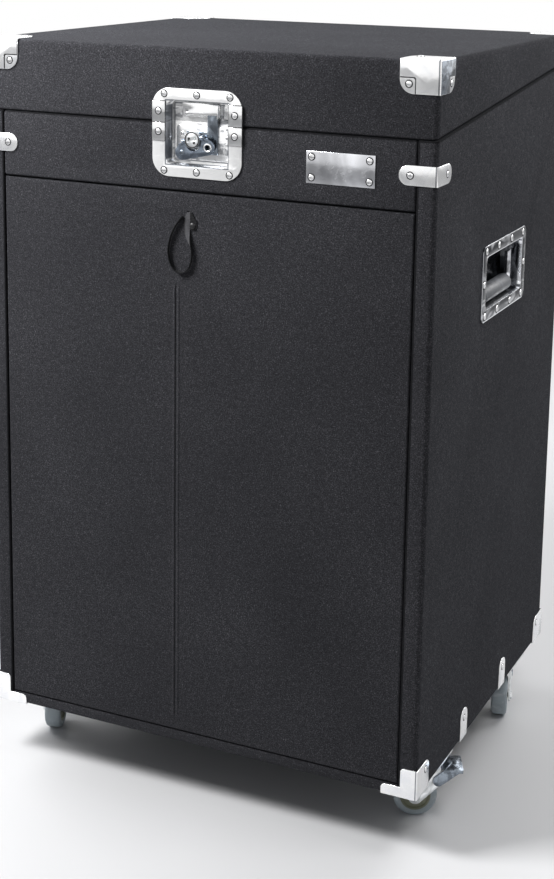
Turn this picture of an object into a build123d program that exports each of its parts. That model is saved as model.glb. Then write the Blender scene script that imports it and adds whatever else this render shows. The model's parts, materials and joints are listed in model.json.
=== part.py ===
from build123d import *
import os
from math import atan, cos, degrees, radians, sin

os.makedirs("parts", exist_ok=True)

# A carpet covered rack case on casters: a 14 unit bay in front and a slanted 10 unit bay on top,
# with a wedge shaped lid hinged at the rear, two pull out covers, one recessed twist latch,
# two recessed side handles and four braked swivel casters.
# X runs across the case, Y from the front face to the back, Z up from the floor, all in millimetres.

# Case
case_w = 533.0
case_d = 473.0
case_h = 789.0
split_front_h = 709.0
split_back_h = 754.0
header_h = 636.0
side_t = 21.0
panel_t = 13.0
base_t = 12.0
lid_top_t = 14.0
lid_gap = 0.3
edge_r = 6.0
soft_edge_r = 2.5
cover_gap = 1.2
stop_w = 12.0
stop_t = 10.0

# Rack rails
rack_unit = 44.45
bay_units = 14
rack_hole_pitch = 465.1
rack_clear_w = 450.8
rail_t = 2.0
rail_leg = 28.0
rail_setback = 45.0
top_rail_drop = 30.0
rail_hole = 9.5
unit_hole_low = 6.35
unit_hole_mid = 22.225
nut_w = 12.5
nut_t = 3.5
nut_thread_r = 2.5
screw_r = 3.5
screw_head_t = 2.2

# Sheet metal trim
trim_t = 1.5
rivet_r = 2.8
rivet_h = 1.0
rivet_sides = 12
rivet_edge = 10.0
cap_seat = 0.5
lid_corner_x = 42.0
lid_corner_y = 40.0
lid_corner_z = 34.0
lid_corner_r = 15.0
foot_corner_x = 40.0
foot_corner_y = 36.0
foot_corner_z = 33.0
foot_band_h = 11.0
foot_post_w = 18.0
foot_r = 9.0
strap_w = 23.0
strap_h = 36.0
strap_under = 18.0
strap_front_y = 155.0
strap_back_y = 301.0
brace_len = 40.0
brace_w = 20.4
brace_front_h = 673.8
brace_back_h = 702.5
plate_x = 163.0
plate_h = 674.0
plate_w = 76.0
plate_tall = 33.5
plate_t = 1.0
plate_rivet_in = 6.0

# Twist latch, measured from the lid joint
latch_x = -1.5
latch_w = 106.0
latch_up = 37.0
latch_down = 57.5
latch_r = 20.0
tray_w = 75.0
tray_up = 24.2
tray_down = 45.0
tray_r = 10.0
tray_depth = 13.5
tray_wall = 1.2
latch_band_h = 20.0
latch_band_t = 0.7
hub_dx = -7.0
hub_drop = 17.2
hub_r = 9.0
hub_front_y = 1.0
hub_back_y = 7.0
hub_gap = 0.3
hub_hole_r = 1.3
hub_hole_dx = 3.6
spindle_r = 4.5
turn_fit = 0.05
wing_pin_r = 1.5
wing_barrel_r = 2.8
wing_barrel_l = 3.6
wing_t = 2.0
wing_y = 4.0
wing_turn = 12.9
wing_lobe_x = 15.6
wing_lobe_drop = 11.2
wing_lobe_r = 8.0
wing_web = 4.0
wing_notch_drop = 3.0
wing_hole_r = 3.2
claw_t = 2.0
claw_x = 12.0
claw_w = 12.0
claw_lift = 7.0
claw_back_plate_t = 1.3
keeper_w = 38.0
keeper_t = 1.5
keeper_low = 10.0
keeper_high = 22.0
keeper_window = 3.6
keeper_window_x = -14.0
keeper_window_up = 14.0
keeper_face_y = 2.5
flange_row_x = 39.0
keeper_lip_low = 6.6
keeper_lip_high = 8.8

# Side handles
handle_y = 238.0
handle_h = 532.0
handle_w = 160.0
handle_tall = 86.0
handle_r = 9.0
handle_row_far = 68.0
handle_row_near = 24.0
dish_w = 134.0
dish_tall = 60.0
dish_r = 8.0
dish_depth = 26.0
dish_wall = 1.5
bail_r = 4.0
bail_eye_r = 5.0
bail_eye_l = 9.4
bail_span = 118.0
bail_drop = 39.0
bail_pivot_up = 19.0
bail_depth = 13.0
pivot_r = 3.0
pivot_fit = 0.05
grip_r = 9.5
grip_l = 94.0
grip_edge = 1.5

# Rear hinges
hinge_x = 150.0
hinge_w = 75.0
hinge_leaf_t = 1.8
hinge_body_leaf = 32.0
hinge_lid_leaf = 27.0
knuckle_r = 4.0
hinge_pin_r = 2.0
hinge_fit = 0.05
knuckle_gap = 0.4
knuckles = 5

# Pull loops
loop_x = -25.0
loop_drop = 53.0
loop_bottom_r = 16.5
loop_top_x = -12.0
loop_top_drop = 30.0
loop_top_r = 3.0
loop_t = 1.6
loop_w = 10.0
loop_tail = 8.0

# Casters
caster_h = 70.0
caster_x = 244.0
caster_inset_y = 96.0
caster_plate_x = 44.0
caster_plate_y = 62.0
caster_plate_t = 2.2
caster_plate_r = 5.0
caster_bolt_x = 32.0
caster_bolt_y = 48.0
caster_bolt_r = 5.0
caster_bolt_h = 3.2
caster_bolt_hole_r = 2.6
race_r = 17.0
race_h = 4.5
race_edge = 1.2
race_gap = 0.3
king_pin_r = 4.0
king_head_t = 1.5
wheel_r = 25.0
wheel_w = 20.0
wheel_core_r = 17.0
wheel_shoulder = 3.0
wheel_groove = 0.8
axle_r = 3.0
axle_fit = 0.05
axle_head_r = 5.5
axle_head_t = 2.4
trail = 12.0
fork_gap = 1.2
fork_t = 2.0
fork_boss_r = 8.0
fork_top_t = 2.2
pedal_t = 1.6
pedal_pivot_x = 13.0
pedal_pivot_drop = 24.0
pedal_end_x = 40.0
pedal_w = 28.0
pedal_gap = 0.3
pedal_rod_r = 2.5

# Worked out from the sizes above
half_w = case_w / 2
inner_half = half_w - side_t
floor_z = caster_h
top_z = floor_z + case_h
header_z = floor_z + header_h
cap_top = top_z + trim_t - cap_seat
slope = (split_back_h - split_front_h) / case_d
tilt = degrees(atan(slope))
top_room = (case_d - 2 * panel_t - rail_leg * sin(radians(tilt))) / cos(radians(tilt))
top_units = int(top_room / rack_unit)
loop_top_h = header_h - loop_top_drop
loop_h = loop_top_h - loop_drop


def split_z(y):
    """Height of the lid joint at a depth into the case."""
    return floor_z + split_front_h + slope * y


def box(x0, x1, y0, y1, z0, z1):
    """A box between two corners."""
    return Pos((x0 + x1) / 2, (y0 + y1) / 2, (z0 + z1) / 2) * Box(x1 - x0, y1 - y0, z1 - z0)


def front_solid(sketch, y0, y1):
    """A sketch drawn in X and Z, given depth from y0 back to y1."""
    plane = Plane(origin=(0, y1, 0), x_dir=(1, 0, 0), z_dir=(0, -1, 0))
    return extrude(plane * sketch, amount=y1 - y0)


def side_solid(sketch, x0, x1):
    """A sketch drawn in Y and Z, given width from x0 to x1."""
    plane = Plane(origin=(x0, 0, 0), x_dir=(0, 1, 0), z_dir=(1, 0, 0))
    return extrude(plane * sketch, amount=x1 - x0)


def top_solid(sketch, z0, z1):
    """A sketch drawn in X and Y, given height from z0 to z1."""
    return extrude(Plane(origin=(0, 0, z0)) * sketch, amount=z1 - z0)


def flat(points):
    """A flat face inside a closed run of points."""
    return make_face(Polyline(*points, close=True))


def round_hull(circles):
    """The outline a belt would take round circles given as x, y and radius."""
    edges = [Pos(x, y) * Edge.make_circle(r) for x, y, r in circles]
    return make_hull(edges)


def tab(x0, x1, y0, y1, corners, r):
    """A rectangle whose named corners are rounded, each named by its side of the middle."""
    shape = Pos((x0 + x1) / 2, (y0 + y1) / 2) * Rectangle(x1 - x0, y1 - y0)
    spots = [Vector(x0 if left else x1, y0 if low else y1) for left, low in corners]
    chosen = [v for v in shape.vertices() if any((Vector(v.X, v.Y) - s).length < 0.01 for s in spots)]
    return fillet(chosen, radius=r)


def both_sides(solid):
    """A right hand piece and its mirror image on the left."""
    return [solid, mirror(solid, about=Plane.YZ)]


def to_back(piece):
    """A front piece turned round to look to the back, mirrored in the middle of the depth."""
    return Pos(0, case_d, 0) * mirror(piece, about=Plane.XZ)


def four_corners(front_right):
    """A front right piece and its copies at the other three corners."""
    return both_sides(front_right) + both_sides(to_back(front_right))


def group(solids):
    """Separate solids kept together in one node."""
    return Compound([solid for piece in solids for solid in piece.solids()])


def near(value, target):
    return abs(value - target) < 0.01


def upright_edges(solid, x=None, y=None):
    """Upright edges of a solid that stand at the given x and y."""
    found = solid.edges().filter_by(Axis.Z)
    if x is not None:
        found = found.filter_by(lambda e: near(abs(e.center().X), x))
    if y is not None:
        found = found.filter_by(lambda e: near(e.center().Y, y))
    return found


def rim_edges(solid, radius):
    """Round edges of a solid that have the given radius."""
    return solid.edges().filter_by(GeomType.CIRCLE).filter_by(lambda e: near(e.radius, radius))


rivet_head = RegularPolygon(rivet_r, rivet_sides)


def rivet_front(x, z, y):
    """A flat headed rivet on a face that looks to the front."""
    return front_solid(Pos(x, z) * rivet_head, y - rivet_h, y)


def rivet_side(y, z, x):
    """The same rivet on a face that looks to the right."""
    return side_solid(Pos(y, z) * rivet_head, x, x + rivet_h)


def rivet_top(x, y, z):
    """The same rivet on a face that looks up."""
    return top_solid(Pos(x, y) * rivet_head, z, z + rivet_h)


# Latch tray and handle dish outlines are shared by the metal and by the pockets that take them
tray_mid = floor_z + split_front_h + (tray_up - tray_down) / 2
tray_tall = tray_up + tray_down
latch_mid = floor_z + split_front_h + (latch_up - latch_down) / 2
latch_tall = latch_up + latch_down
pocket_clear = 0.5


def tray_outline(grow):
    return Pos(latch_x, tray_mid) * RectangleRounded(tray_w + 2 * grow, tray_tall + 2 * grow, tray_r + grow)


def dish_outline(grow):
    shape = RectangleRounded(dish_w + 2 * grow, dish_tall + 2 * grow, dish_r + grow)
    return Pos(handle_y, floor_z + handle_h) * shape


def above_split(gap):
    """Everything above the lid joint plus a gap."""
    far = case_d
    return side_solid(
        flat([
            (-far, split_z(-far) + gap),
            (2 * far, split_z(2 * far) + gap),
            (2 * far, 2 * top_z),
            (-far, 2 * top_z),
        ]),
        -case_w,
        case_w,
    )


# Wooden body
def make_side_panel():
    outline = flat([
        (0, floor_z),
        (case_d, floor_z),
        (case_d, split_z(case_d)),
        (0, split_z(0)),
    ])
    panel = side_solid(outline, inner_half, half_w)
    panel = fillet(upright_edges(panel, x=half_w), radius=edge_r)
    pocket = side_solid(dish_outline(dish_wall + pocket_clear), inner_half - 1, half_w + 1)
    return panel - pocket


def make_header(y0, y1):
    outline = flat([
        (y0, header_z),
        (y1, header_z),
        (y1, split_z(y1)),
        (y0, split_z(y0)),
    ])
    return side_solid(outline, -inner_half, inner_half)


tray_pocket = front_solid(tray_outline(tray_wall + pocket_clear), -1, panel_t + 1)
side_panel_right, side_panel_left = both_sides(make_side_panel())
base_panel = box(-inner_half, inner_half, 0, case_d, floor_z, floor_z + base_t)
front_header = make_header(0, panel_t) - tray_pocket
rear_header = make_header(case_d - panel_t, case_d)


# Cover stops, upright battens that the covers seat against
def make_cover_stops():
    z0 = floor_z + base_t
    front = box(inner_half - stop_w, inner_half, panel_t, panel_t + stop_t, z0, header_z)
    back = box(inner_half - stop_w, inner_half, case_d - panel_t - stop_t, case_d - panel_t, z0, header_z)
    return group(both_sides(front) + both_sides(back))


# Rack rails with square holes
def unit_heights(units):
    """Heights of the three holes in each rack unit."""
    heights = []
    for unit in range(units):
        base = unit * rack_unit
        heights += [base + unit_hole_low, base + unit_hole_mid, base + rack_unit - unit_hole_low]
    return heights


def make_rail(units):
    """A right hand rail standing on z = 0 with its face to the front at y = 0."""
    length = units * rack_unit
    face_x = rack_clear_w / 2
    section = flat([
        (face_x, 0),
        (inner_half, 0),
        (inner_half, rail_leg),
        (inner_half - rail_t, rail_leg),
        (inner_half - rail_t, rail_t),
        (face_x, rail_t),
    ])
    rail = top_solid(section, 0, length)
    spots = [Pos(rack_hole_pitch / 2, z) * Rectangle(rail_hole, rail_hole) for z in unit_heights(units)]
    holes = front_solid(Sketch() + spots, -1, rail_t + 1)
    return rail - holes


def slanted(piece):
    """Lay an upright rail piece along the slanted top, face upwards, foot at the front."""
    run = top_units * rack_unit * cos(radians(tilt)) + rail_leg * sin(radians(tilt))
    start_y = panel_t + (case_d - 2 * panel_t - run) / 2
    start_z = split_z(start_y) - top_rail_drop
    return Pos(0, start_y, start_z) * Rot(tilt - 90, 0, 0) * piece


bay_rail = Pos(0, rail_setback, floor_z + base_t) * make_rail(bay_units)
rack_rail_front_right, rack_rail_front_left = both_sides(bay_rail)
rack_rail_rear_right, rack_rail_rear_left = both_sides(to_back(bay_rail))
top_rail_right, top_rail_left = both_sides(slanted(make_rail(top_units)))


def make_nut(z):
    """A cage nut behind a rail hole, its thread open to the front."""
    x = rack_hole_pitch / 2
    body = box(x - nut_w / 2, x + nut_w / 2, rail_t, rail_t + nut_t, z - nut_w / 2, z + nut_w / 2)
    return body - front_solid(Pos(x, z) * Circle(nut_thread_r), 0, rail_t + nut_t + 1)


def nut_heights(units):
    heights = unit_heights(units)
    return [heights[0], heights[-1]]


def make_cage_nuts():
    bay = [Pos(0, rail_setback, floor_z + base_t) * make_nut(z) for z in nut_heights(bay_units)]
    top = [slanted(make_nut(z)) for z in nut_heights(top_units)]
    solids = []
    for nut in bay + top:
        solids += both_sides(nut)
    return group(solids)


def make_rail_screws():
    """Screws that hold the rail legs to the case sides."""
    solids = []
    face_x = inner_half - rail_t
    y = rail_leg * 0.6
    screw_head = RegularPolygon(screw_r, rivet_sides)
    for share in (0.1, 0.5, 0.9):
        head = side_solid(Pos(y, share * bay_units * rack_unit) * screw_head, face_x - screw_head_t, face_x)
        front = Pos(0, rail_setback, floor_z + base_t) * head
        solids += both_sides(front) + both_sides(to_back(front))
    for share in (0.15, 0.85):
        head = side_solid(Pos(y, share * top_units * rack_unit) * screw_head, face_x - screw_head_t, face_x)
        solids += both_sides(slanted(head))
    return group(solids)


# Lid
def lid_cap_outline():
    """Plan of a lid corner's top plate at the front right."""
    x0 = half_w - lid_corner_x
    return tab(x0, half_w + trim_t, -trim_t, lid_corner_y, [(True, False)], lid_corner_r)


def make_lid_top():
    """The top panel, its carpet pressed down where the corner plates lie on it."""
    panel = box(-half_w, half_w, 0, case_d, top_z - lid_top_t, top_z)
    panel = fillet(upright_edges(panel), radius=edge_r)
    rim = panel.faces().sort_by(Axis.Z)[-1].edges()
    panel = fillet(rim, radius=edge_r - 1)
    for seat in four_corners(top_solid(lid_cap_outline(), cap_top - trim_t, top_z + 1)):
        panel = panel - seat
    return panel


def make_lid_end(y0, y1, outer_y):
    outline = flat([
        (y0, split_z(y0) + lid_gap),
        (y1, split_z(y1) + lid_gap),
        (y1, top_z - lid_top_t),
        (y0, top_z - lid_top_t),
    ])
    wall = side_solid(outline, -half_w, half_w)
    return fillet(upright_edges(wall, x=half_w, y=outer_y), radius=edge_r)


def make_lid_side():
    y0 = panel_t
    y1 = case_d - panel_t
    outline = flat([
        (y0, split_z(y0) + lid_gap),
        (y1, split_z(y1) + lid_gap),
        (y1, top_z - lid_top_t),
        (y0, top_z - lid_top_t),
    ])
    return side_solid(outline, inner_half, half_w)


lid_top = make_lid_top()
lid_front = make_lid_end(0, panel_t, 0) - tray_pocket
lid_rear = make_lid_end(case_d - panel_t, case_d, case_d)
lid_side_right, lid_side_left = both_sides(make_lid_side())


def make_lid_corner():
    """A pressed corner with a front, a side and a top plate."""
    x0 = half_w - lid_corner_x
    z0 = top_z - lid_corner_z
    front = front_solid(tab(x0, half_w + trim_t, z0, cap_top, [(True, True)], lid_corner_r), -trim_t, 0)
    side = side_solid(
        tab(-trim_t, lid_corner_y, z0, cap_top, [(False, True)], lid_corner_r), half_w, half_w + trim_t
    )
    cap = top_solid(lid_cap_outline(), cap_top - trim_t, cap_top)
    return front + side + cap


def make_lid_rivets():
    """Rivets of the lid corners and of the latch's lid half."""
    z = top_z - lid_corner_z + rivet_edge
    x = half_w - lid_corner_x + rivet_edge
    y = lid_corner_y - rivet_edge
    corner = [
        rivet_front(x, z, -trim_t),
        rivet_side(y, z, half_w + trim_t),
        rivet_top(x, y, cap_top),
    ]
    solids = make_latch_rivets()[1]
    for rivet in corner:
        solids += four_corners(rivet)
    return group(solids)


# Trim on the body
def make_foot_corner():
    z0 = floor_z - trim_t
    x0 = half_w - foot_corner_x
    post_x = half_w - foot_post_w
    band = front_solid(tab(x0, half_w, z0, floor_z + foot_band_h, [(True, False)], 5.0), -trim_t, 0)
    post = front_solid(
        tab(post_x, half_w + trim_t, z0, floor_z + foot_corner_z, [(True, False)], 4.0), -trim_t, 0
    )
    side = side_solid(
        tab(-trim_t, foot_corner_y, z0, floor_z + foot_corner_z, [(False, False)], foot_r), half_w, half_w + trim_t
    )
    sole = top_solid(
        tab(x0, half_w + trim_t, -trim_t, foot_corner_y, [(True, False)], foot_r), z0, floor_z
    )
    return band + post + side + sole


def make_edge_strap(y):
    z0 = floor_z - trim_t
    outline = tab(
        y - strap_w / 2,
        y + strap_w / 2,
        z0,
        floor_z + strap_h,
        [(True, False), (False, False)],
        strap_w / 2 - 1,
    )
    side = side_solid(outline, half_w, half_w + trim_t)
    under = box(half_w - strap_under, half_w, y - strap_w / 2, y + strap_w / 2, z0, floor_z)
    return side + under


def make_brace(z):
    """An angle brace at a front right corner, centred at height z."""
    low = z - brace_w / 2
    high = z + brace_w / 2
    round_r = brace_w / 2 - 0.5
    front = front_solid(
        tab(half_w - brace_len, half_w + trim_t, low, high, [(True, True), (True, False)], round_r), -trim_t, 0
    )
    side = side_solid(
        tab(-trim_t, brace_len, low, high, [(False, True), (False, False)], round_r), half_w, half_w + trim_t
    )
    return front + side


def make_header_braces():
    front = both_sides(make_brace(floor_z + brace_front_h))
    back = both_sides(to_back(make_brace(floor_z + brace_back_h)))
    return group(front + back)


def make_edge_straps():
    return group(both_sides(make_edge_strap(strap_front_y)) + both_sides(make_edge_strap(strap_back_y)))


nameplate = front_solid(Pos(plate_x, floor_z + plate_h) * Rectangle(plate_w, plate_tall), -plate_t, 0)


def make_trim_rivets():
    """Rivets of the braces, foot corners, straps and nameplate."""
    solids = []
    hole_in = brace_w / 2 + 2
    front_z = floor_z + brace_front_h
    back_z = floor_z + brace_back_h
    x = half_w - brace_len + hole_in
    y = brace_len - hole_in
    solids += both_sides(rivet_front(x, front_z, -trim_t))
    solids += both_sides(rivet_side(y, front_z, half_w + trim_t))
    solids += both_sides(to_back(rivet_front(x, back_z, -trim_t)))
    solids += both_sides(to_back(rivet_side(y, back_z, half_w + trim_t)))
    foot_z = floor_z + foot_corner_z - foot_r
    solids += four_corners(rivet_side(foot_corner_y - foot_r - 2, foot_z, half_w + trim_t))
    for strap_y in (strap_front_y, strap_back_y):
        solids += both_sides(rivet_side(strap_y, floor_z + strap_h - strap_w / 2, half_w + trim_t))
    for sx in (-1, 1):
        for sz in (-1, 1):
            px = plate_x + sx * (plate_w / 2 - plate_rivet_in)
            pz = floor_z + plate_h + sz * (plate_tall / 2 - plate_rivet_in)
            solids.append(rivet_front(px, pz, -plate_t))
    return group(solids + make_latch_rivets()[0] + make_handle_rivets())


# Latch
def make_latch_shell():
    """The whole pressed latch shell, before it is parted at the lid joint."""
    flange = front_solid(Pos(latch_x, latch_mid) * RectangleRounded(latch_w, latch_tall, latch_r), -trim_t, 0)
    tray = front_solid(tray_outline(tray_wall), 0, tray_depth)
    hollow = front_solid(tray_outline(0), -trim_t - 1, tray_depth - tray_wall)
    bands = []
    band_w = (latch_w - tray_w) / 2 - 0.5
    split = floor_z + split_front_h
    for sx in (-1, 1):
        mid = latch_x + sx * (latch_w - band_w) / 2
        bands.append(
            box(
                mid - band_w / 2,
                mid + band_w / 2,
                -trim_t - latch_band_t,
                -trim_t,
                split - latch_band_h,
                split + latch_band_h,
            )
        )
    return flange + tray + bands - hollow


latch_shell = make_latch_shell()
lid_part = above_split(lid_gap)
body_part = above_split(0)
latch_tray = latch_shell - body_part
latch_lid_tray = latch_shell & lid_part
hub_x = latch_x + hub_dx
hub_z = floor_z + split_front_h - hub_drop
tray_back = tray_depth - tray_wall
back_plate_y = tray_back - claw_back_plate_t
claw_y = back_plate_y - hub_gap - claw_t
hub_spot = Pos(hub_x, 0, hub_z) * Rot(0, -wing_turn, 0)


def make_latch_plate():
    """Back plate of the latch works, with the bearing hole for the spindle."""
    z0 = floor_z + split_front_h - tray_down + 6
    z1 = floor_z + split_front_h - 3
    plate = front_solid(
        Pos(latch_x, (z0 + z1) / 2) * RectangleRounded(tray_w - 14, z1 - z0, 4), back_plate_y, tray_back
    )
    return plate - front_solid(Pos(hub_x, hub_z) * Circle(spindle_r + turn_fit), 0, tray_depth)


def make_latch_hub():
    """Turning boss with its two key holes, its spindle and the wing's cross pin."""
    boss = front_solid(Circle(hub_r), hub_front_y, hub_back_y)
    spindle = front_solid(Circle(spindle_r), hub_back_y, tray_back - 0.1)
    pin_half = hub_r + hub_gap + wing_barrel_l
    pin = side_solid(Pos(wing_y, 0) * Circle(wing_pin_r), -pin_half, pin_half)
    hub = boss + spindle + pin
    for sx in (-1, 1):
        hub = hub - front_solid(Pos(sx * hub_hole_dx, 0) * Circle(hub_hole_r), 0, wing_y)
    return hub_spot * hub


def make_latch_wing():
    """Folding wing with two lobes, hung on the hub's cross pin and notched round its boss."""
    outline = round_hull([
        (0, -wing_web, hub_r + wing_web),
        (-wing_lobe_x, -wing_lobe_drop, wing_lobe_r),
        (wing_lobe_x, -wing_lobe_drop, wing_lobe_r),
    ])
    outline = outline - Pos(0, wing_barrel_r + tray_tall / 2) * Rectangle(2 * tray_w, tray_tall)
    notch_r = hub_r + hub_gap
    outline = outline - Pos(0, -wing_notch_drop) * Circle(notch_r)
    outline = outline - Pos(0, tray_tall / 2 - wing_notch_drop) * Rectangle(2 * notch_r, tray_tall)
    outline = outline - Pos(wing_lobe_x, -wing_lobe_drop) * Circle(wing_hole_r)
    wing = front_solid(outline, wing_y - wing_t / 2, wing_y + wing_t / 2)
    barrel = side_solid(Pos(wing_y, 0) * Circle(wing_barrel_r), notch_r, notch_r + wing_barrel_l)
    wing = wing + both_sides(barrel)
    bore = side_solid(Pos(wing_y, 0) * Circle(wing_pin_r + turn_fit), -tray_w, tray_w)
    return hub_spot * (wing - bore)


def make_latch_claw():
    """Sliding claw that hooks over the keeper's lip."""
    split = floor_z + split_front_h
    nose_low = split + keeper_lip_high + hub_gap
    yoke_half = spindle_r + 6
    yoke = box(
        hub_x - yoke_half,
        claw_x + claw_w / 2,
        claw_y,
        claw_y + claw_t,
        hub_z - claw_lift - spindle_r - 4,
        hub_z + spindle_r + 4,
    )
    leg = box(claw_x - claw_w / 2, claw_x + claw_w / 2, claw_y, claw_y + claw_t, hub_z, nose_low + claw_t)
    nose = box(claw_x - claw_w / 2, claw_x + claw_w / 2, claw_y, tray_back - 0.5, nose_low, nose_low + claw_t)
    slot_w = 2 * spindle_r + 0.6
    slot_mid = hub_z - claw_lift / 2
    slot = front_solid(Pos(hub_x, slot_mid) * Rectangle(slot_w, slot_w + claw_lift), 0, tray_depth)
    return yoke + leg + nose - slot


def make_keeper():
    """Keeper in the lid half of the latch: a face plate on two cheeks, and the lip for the claw."""
    split = floor_z + split_front_h
    x0 = latch_x - keeper_w / 2
    x1 = latch_x + keeper_w / 2 + 4
    face_y = keeper_face_y
    face = box(x0, x1, face_y, face_y + keeper_t, split + keeper_low, split + keeper_high)
    cheeks = [
        box(x0, x0 + keeper_t, face_y, tray_back, split + keeper_lip_low, split + keeper_high),
        box(x1 - keeper_t, x1, face_y, tray_back, split + keeper_lip_low, split + keeper_high),
    ]
    lip_y = claw_y + claw_t + hub_gap
    lip = box(x0, x1, lip_y, tray_back, split + keeper_lip_low, split + keeper_lip_high)
    square = Pos(latch_x + keeper_window_x, split + keeper_window_up) * Rectangle(keeper_window, keeper_window)
    return face + cheeks + lip - front_solid(square, 0, face_y + keeper_t + 1)


def make_latch_rivets():
    """Flange rivets of the body half and of the lid half."""
    split = floor_z + split_front_h
    side_x = (latch_w + tray_w) / 4
    row_x = flange_row_x
    low_z = split - (latch_down + tray_down) / 2
    high_z = split + (latch_up + tray_up) / 2
    y = -trim_t
    side_y = -trim_t - latch_band_t
    low = [rivet_front(latch_x + dx, low_z, y) for dx in (-row_x, 0, row_x)]
    low += [rivet_front(latch_x + dx, split - latch_band_h / 2, side_y) for dx in (-side_x, side_x)]
    high = [rivet_front(latch_x + dx, high_z, y) for dx in (-row_x, 0, row_x)]
    high += [rivet_front(latch_x + dx, split + latch_band_h / 2 + 2, side_y) for dx in (-side_x, side_x)]
    return low, high


# Side handles
def make_handle_dish():
    centre = Pos(handle_y, floor_z + handle_h)
    flange = side_solid(centre * RectangleRounded(handle_w, handle_tall, handle_r), half_w, half_w + trim_t)
    dish = side_solid(dish_outline(dish_wall), half_w - dish_depth, half_w)
    hollow = side_solid(dish_outline(0), half_w - dish_depth + dish_wall, half_w + trim_t + 1)
    shell = flange + dish - hollow
    bore = Pos(half_w - bail_depth, handle_y, floor_z + handle_h + bail_pivot_up) * Rot(90, 0, 0)
    return shell - bore * Cylinder(pivot_r + pivot_fit, dish_w + 4 * dish_wall)


def make_bail():
    """Bent rod with its two eyes and pivot stubs in the dish walls, hanging inside the dish."""
    x = half_w - bail_depth
    top = floor_z + handle_h + bail_pivot_up
    low = top - bail_drop
    near_y = handle_y - bail_span / 2
    far_y = handle_y + bail_span / 2
    stub = (dish_w - bail_span) / 2 + dish_wall
    path = FilletPolyline(
        (x, near_y, top),
        (x, near_y, low),
        (x, far_y, low),
        (x, far_y, top),
        radius=2.2 * bail_r,
    )
    rod = sweep(Plane(origin=(x, near_y, top), z_dir=(0, 0, -1)) * Circle(bail_r), path=path)
    pins = []
    for y, way in ((near_y, -1), (far_y, 1)):
        eye = Pos(x, y, top) * Rot(90, 0, 0) * Cylinder(bail_eye_r, bail_eye_l)
        pins += [eye, Pos(x, y + way * stub / 2, top) * Rot(90, 0, 0) * Cylinder(pivot_r, stub)]
    return rod + pins


def make_grip():
    """Rubber sleeve on the bail's lower bar."""
    x = half_w - bail_depth
    low = floor_z + handle_h + bail_pivot_up - bail_drop
    sleeve = Cylinder(grip_r, grip_l) - Cylinder(bail_r, grip_l)
    sleeve = chamfer(rim_edges(sleeve, grip_r), length=grip_edge)
    return Pos(x, handle_y, low) * Rot(90, 0, 0) * sleeve


def make_handle_rivets():
    solids = []
    mid_z = floor_z + handle_h
    row_z = (handle_tall + dish_tall) / 4
    for dy in (-handle_row_far, -handle_row_near, handle_row_near, handle_row_far):
        for dz in (-row_z, row_z):
            solids += both_sides(rivet_side(handle_y + dy, mid_z + dz, half_w + trim_t))
    for dy in (-(handle_w + dish_w) / 4, (handle_w + dish_w) / 4):
        solids += both_sides(rivet_side(handle_y + dy, mid_z, half_w + trim_t))
    return solids


# Rear hinges
hinge_y = case_d + knuckle_r + 0.3
hinge_z = split_z(hinge_y)


def hinge_barrels(which):
    """Knuckle barrels of one leaf, bored for the pin: the even ones or the odd ones."""
    pitch = hinge_w / knuckles
    solids = []
    for index in range(knuckles):
        if index % 2 == which:
            x0 = hinge_x - hinge_w / 2 + index * pitch + knuckle_gap / 2
            x1 = x0 + pitch - knuckle_gap
            solids.append(side_solid(Pos(hinge_y, hinge_z) * Circle(knuckle_r), x0, x1))
    return solids


def make_hinge_leaf(which, low, high):
    """A hinge leaf on the back face, with its tabs reaching the barrels."""
    leaf = box(hinge_x - hinge_w / 2, hinge_x + hinge_w / 2, case_d, case_d + hinge_leaf_t, low, high)
    edge = low if which else high
    pitch = hinge_w / knuckles
    tabs = []
    for index in range(knuckles):
        if index % 2 == which:
            x0 = hinge_x - hinge_w / 2 + index * pitch + knuckle_gap / 2
            x1 = x0 + pitch - knuckle_gap
            tabs.append(box(x0, x1, case_d, case_d + hinge_leaf_t, min(edge, hinge_z), max(edge, hinge_z)))
    solid = leaf + tabs + hinge_barrels(which)
    bore = side_solid(Pos(hinge_y, hinge_z) * Circle(hinge_pin_r + hinge_fit), hinge_x - hinge_w, hinge_x + hinge_w)
    return solid - bore


leaf_gap = knuckle_r + 0.6
body_leaf = make_hinge_leaf(0, hinge_z - hinge_body_leaf, hinge_z - leaf_gap)
lid_leaf = make_hinge_leaf(1, hinge_z + leaf_gap, hinge_z + hinge_lid_leaf)
hinge_pin = side_solid(Pos(hinge_y, hinge_z) * Circle(hinge_pin_r), hinge_x - hinge_w / 2, hinge_x + hinge_w / 2)


# Covers and their pull loops
def make_cover(y0, y1, outer_y):
    cover = box(
        -inner_half + cover_gap,
        inner_half - cover_gap,
        y0,
        y1,
        floor_z + base_t + cover_gap,
        header_z - cover_gap,
    )
    rim = cover.faces().filter_by(lambda f: near(f.center().Y, outer_y)).edges()
    return fillet(rim, radius=soft_edge_r)


def loop_slit():
    return box(
        loop_top_x - loop_t / 2,
        loop_top_x + loop_t / 2,
        -1,
        loop_tail,
        floor_z + loop_top_h,
        floor_z + loop_top_h + 10,
    )


def make_pull_loop():
    """A band of webbing bent to a hanging teardrop, its tail let into the cover."""
    bottom = (loop_x, floor_z + loop_h)
    top = (loop_top_x, floor_z + loop_top_h)
    outer = round_hull([(*bottom, loop_bottom_r), (*top, loop_top_r)])
    inner = round_hull([(*bottom, loop_bottom_r - loop_t), (*top, loop_top_r - loop_t)])
    band = front_solid(outer - inner, -loop_w, 0)
    tail = box(
        loop_top_x - loop_t / 2,
        loop_top_x + loop_t / 2,
        -loop_w,
        loop_tail,
        floor_z + loop_top_h + loop_top_r - loop_t / 2,
        floor_z + loop_top_h + 10,
    )
    return band + tail


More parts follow.
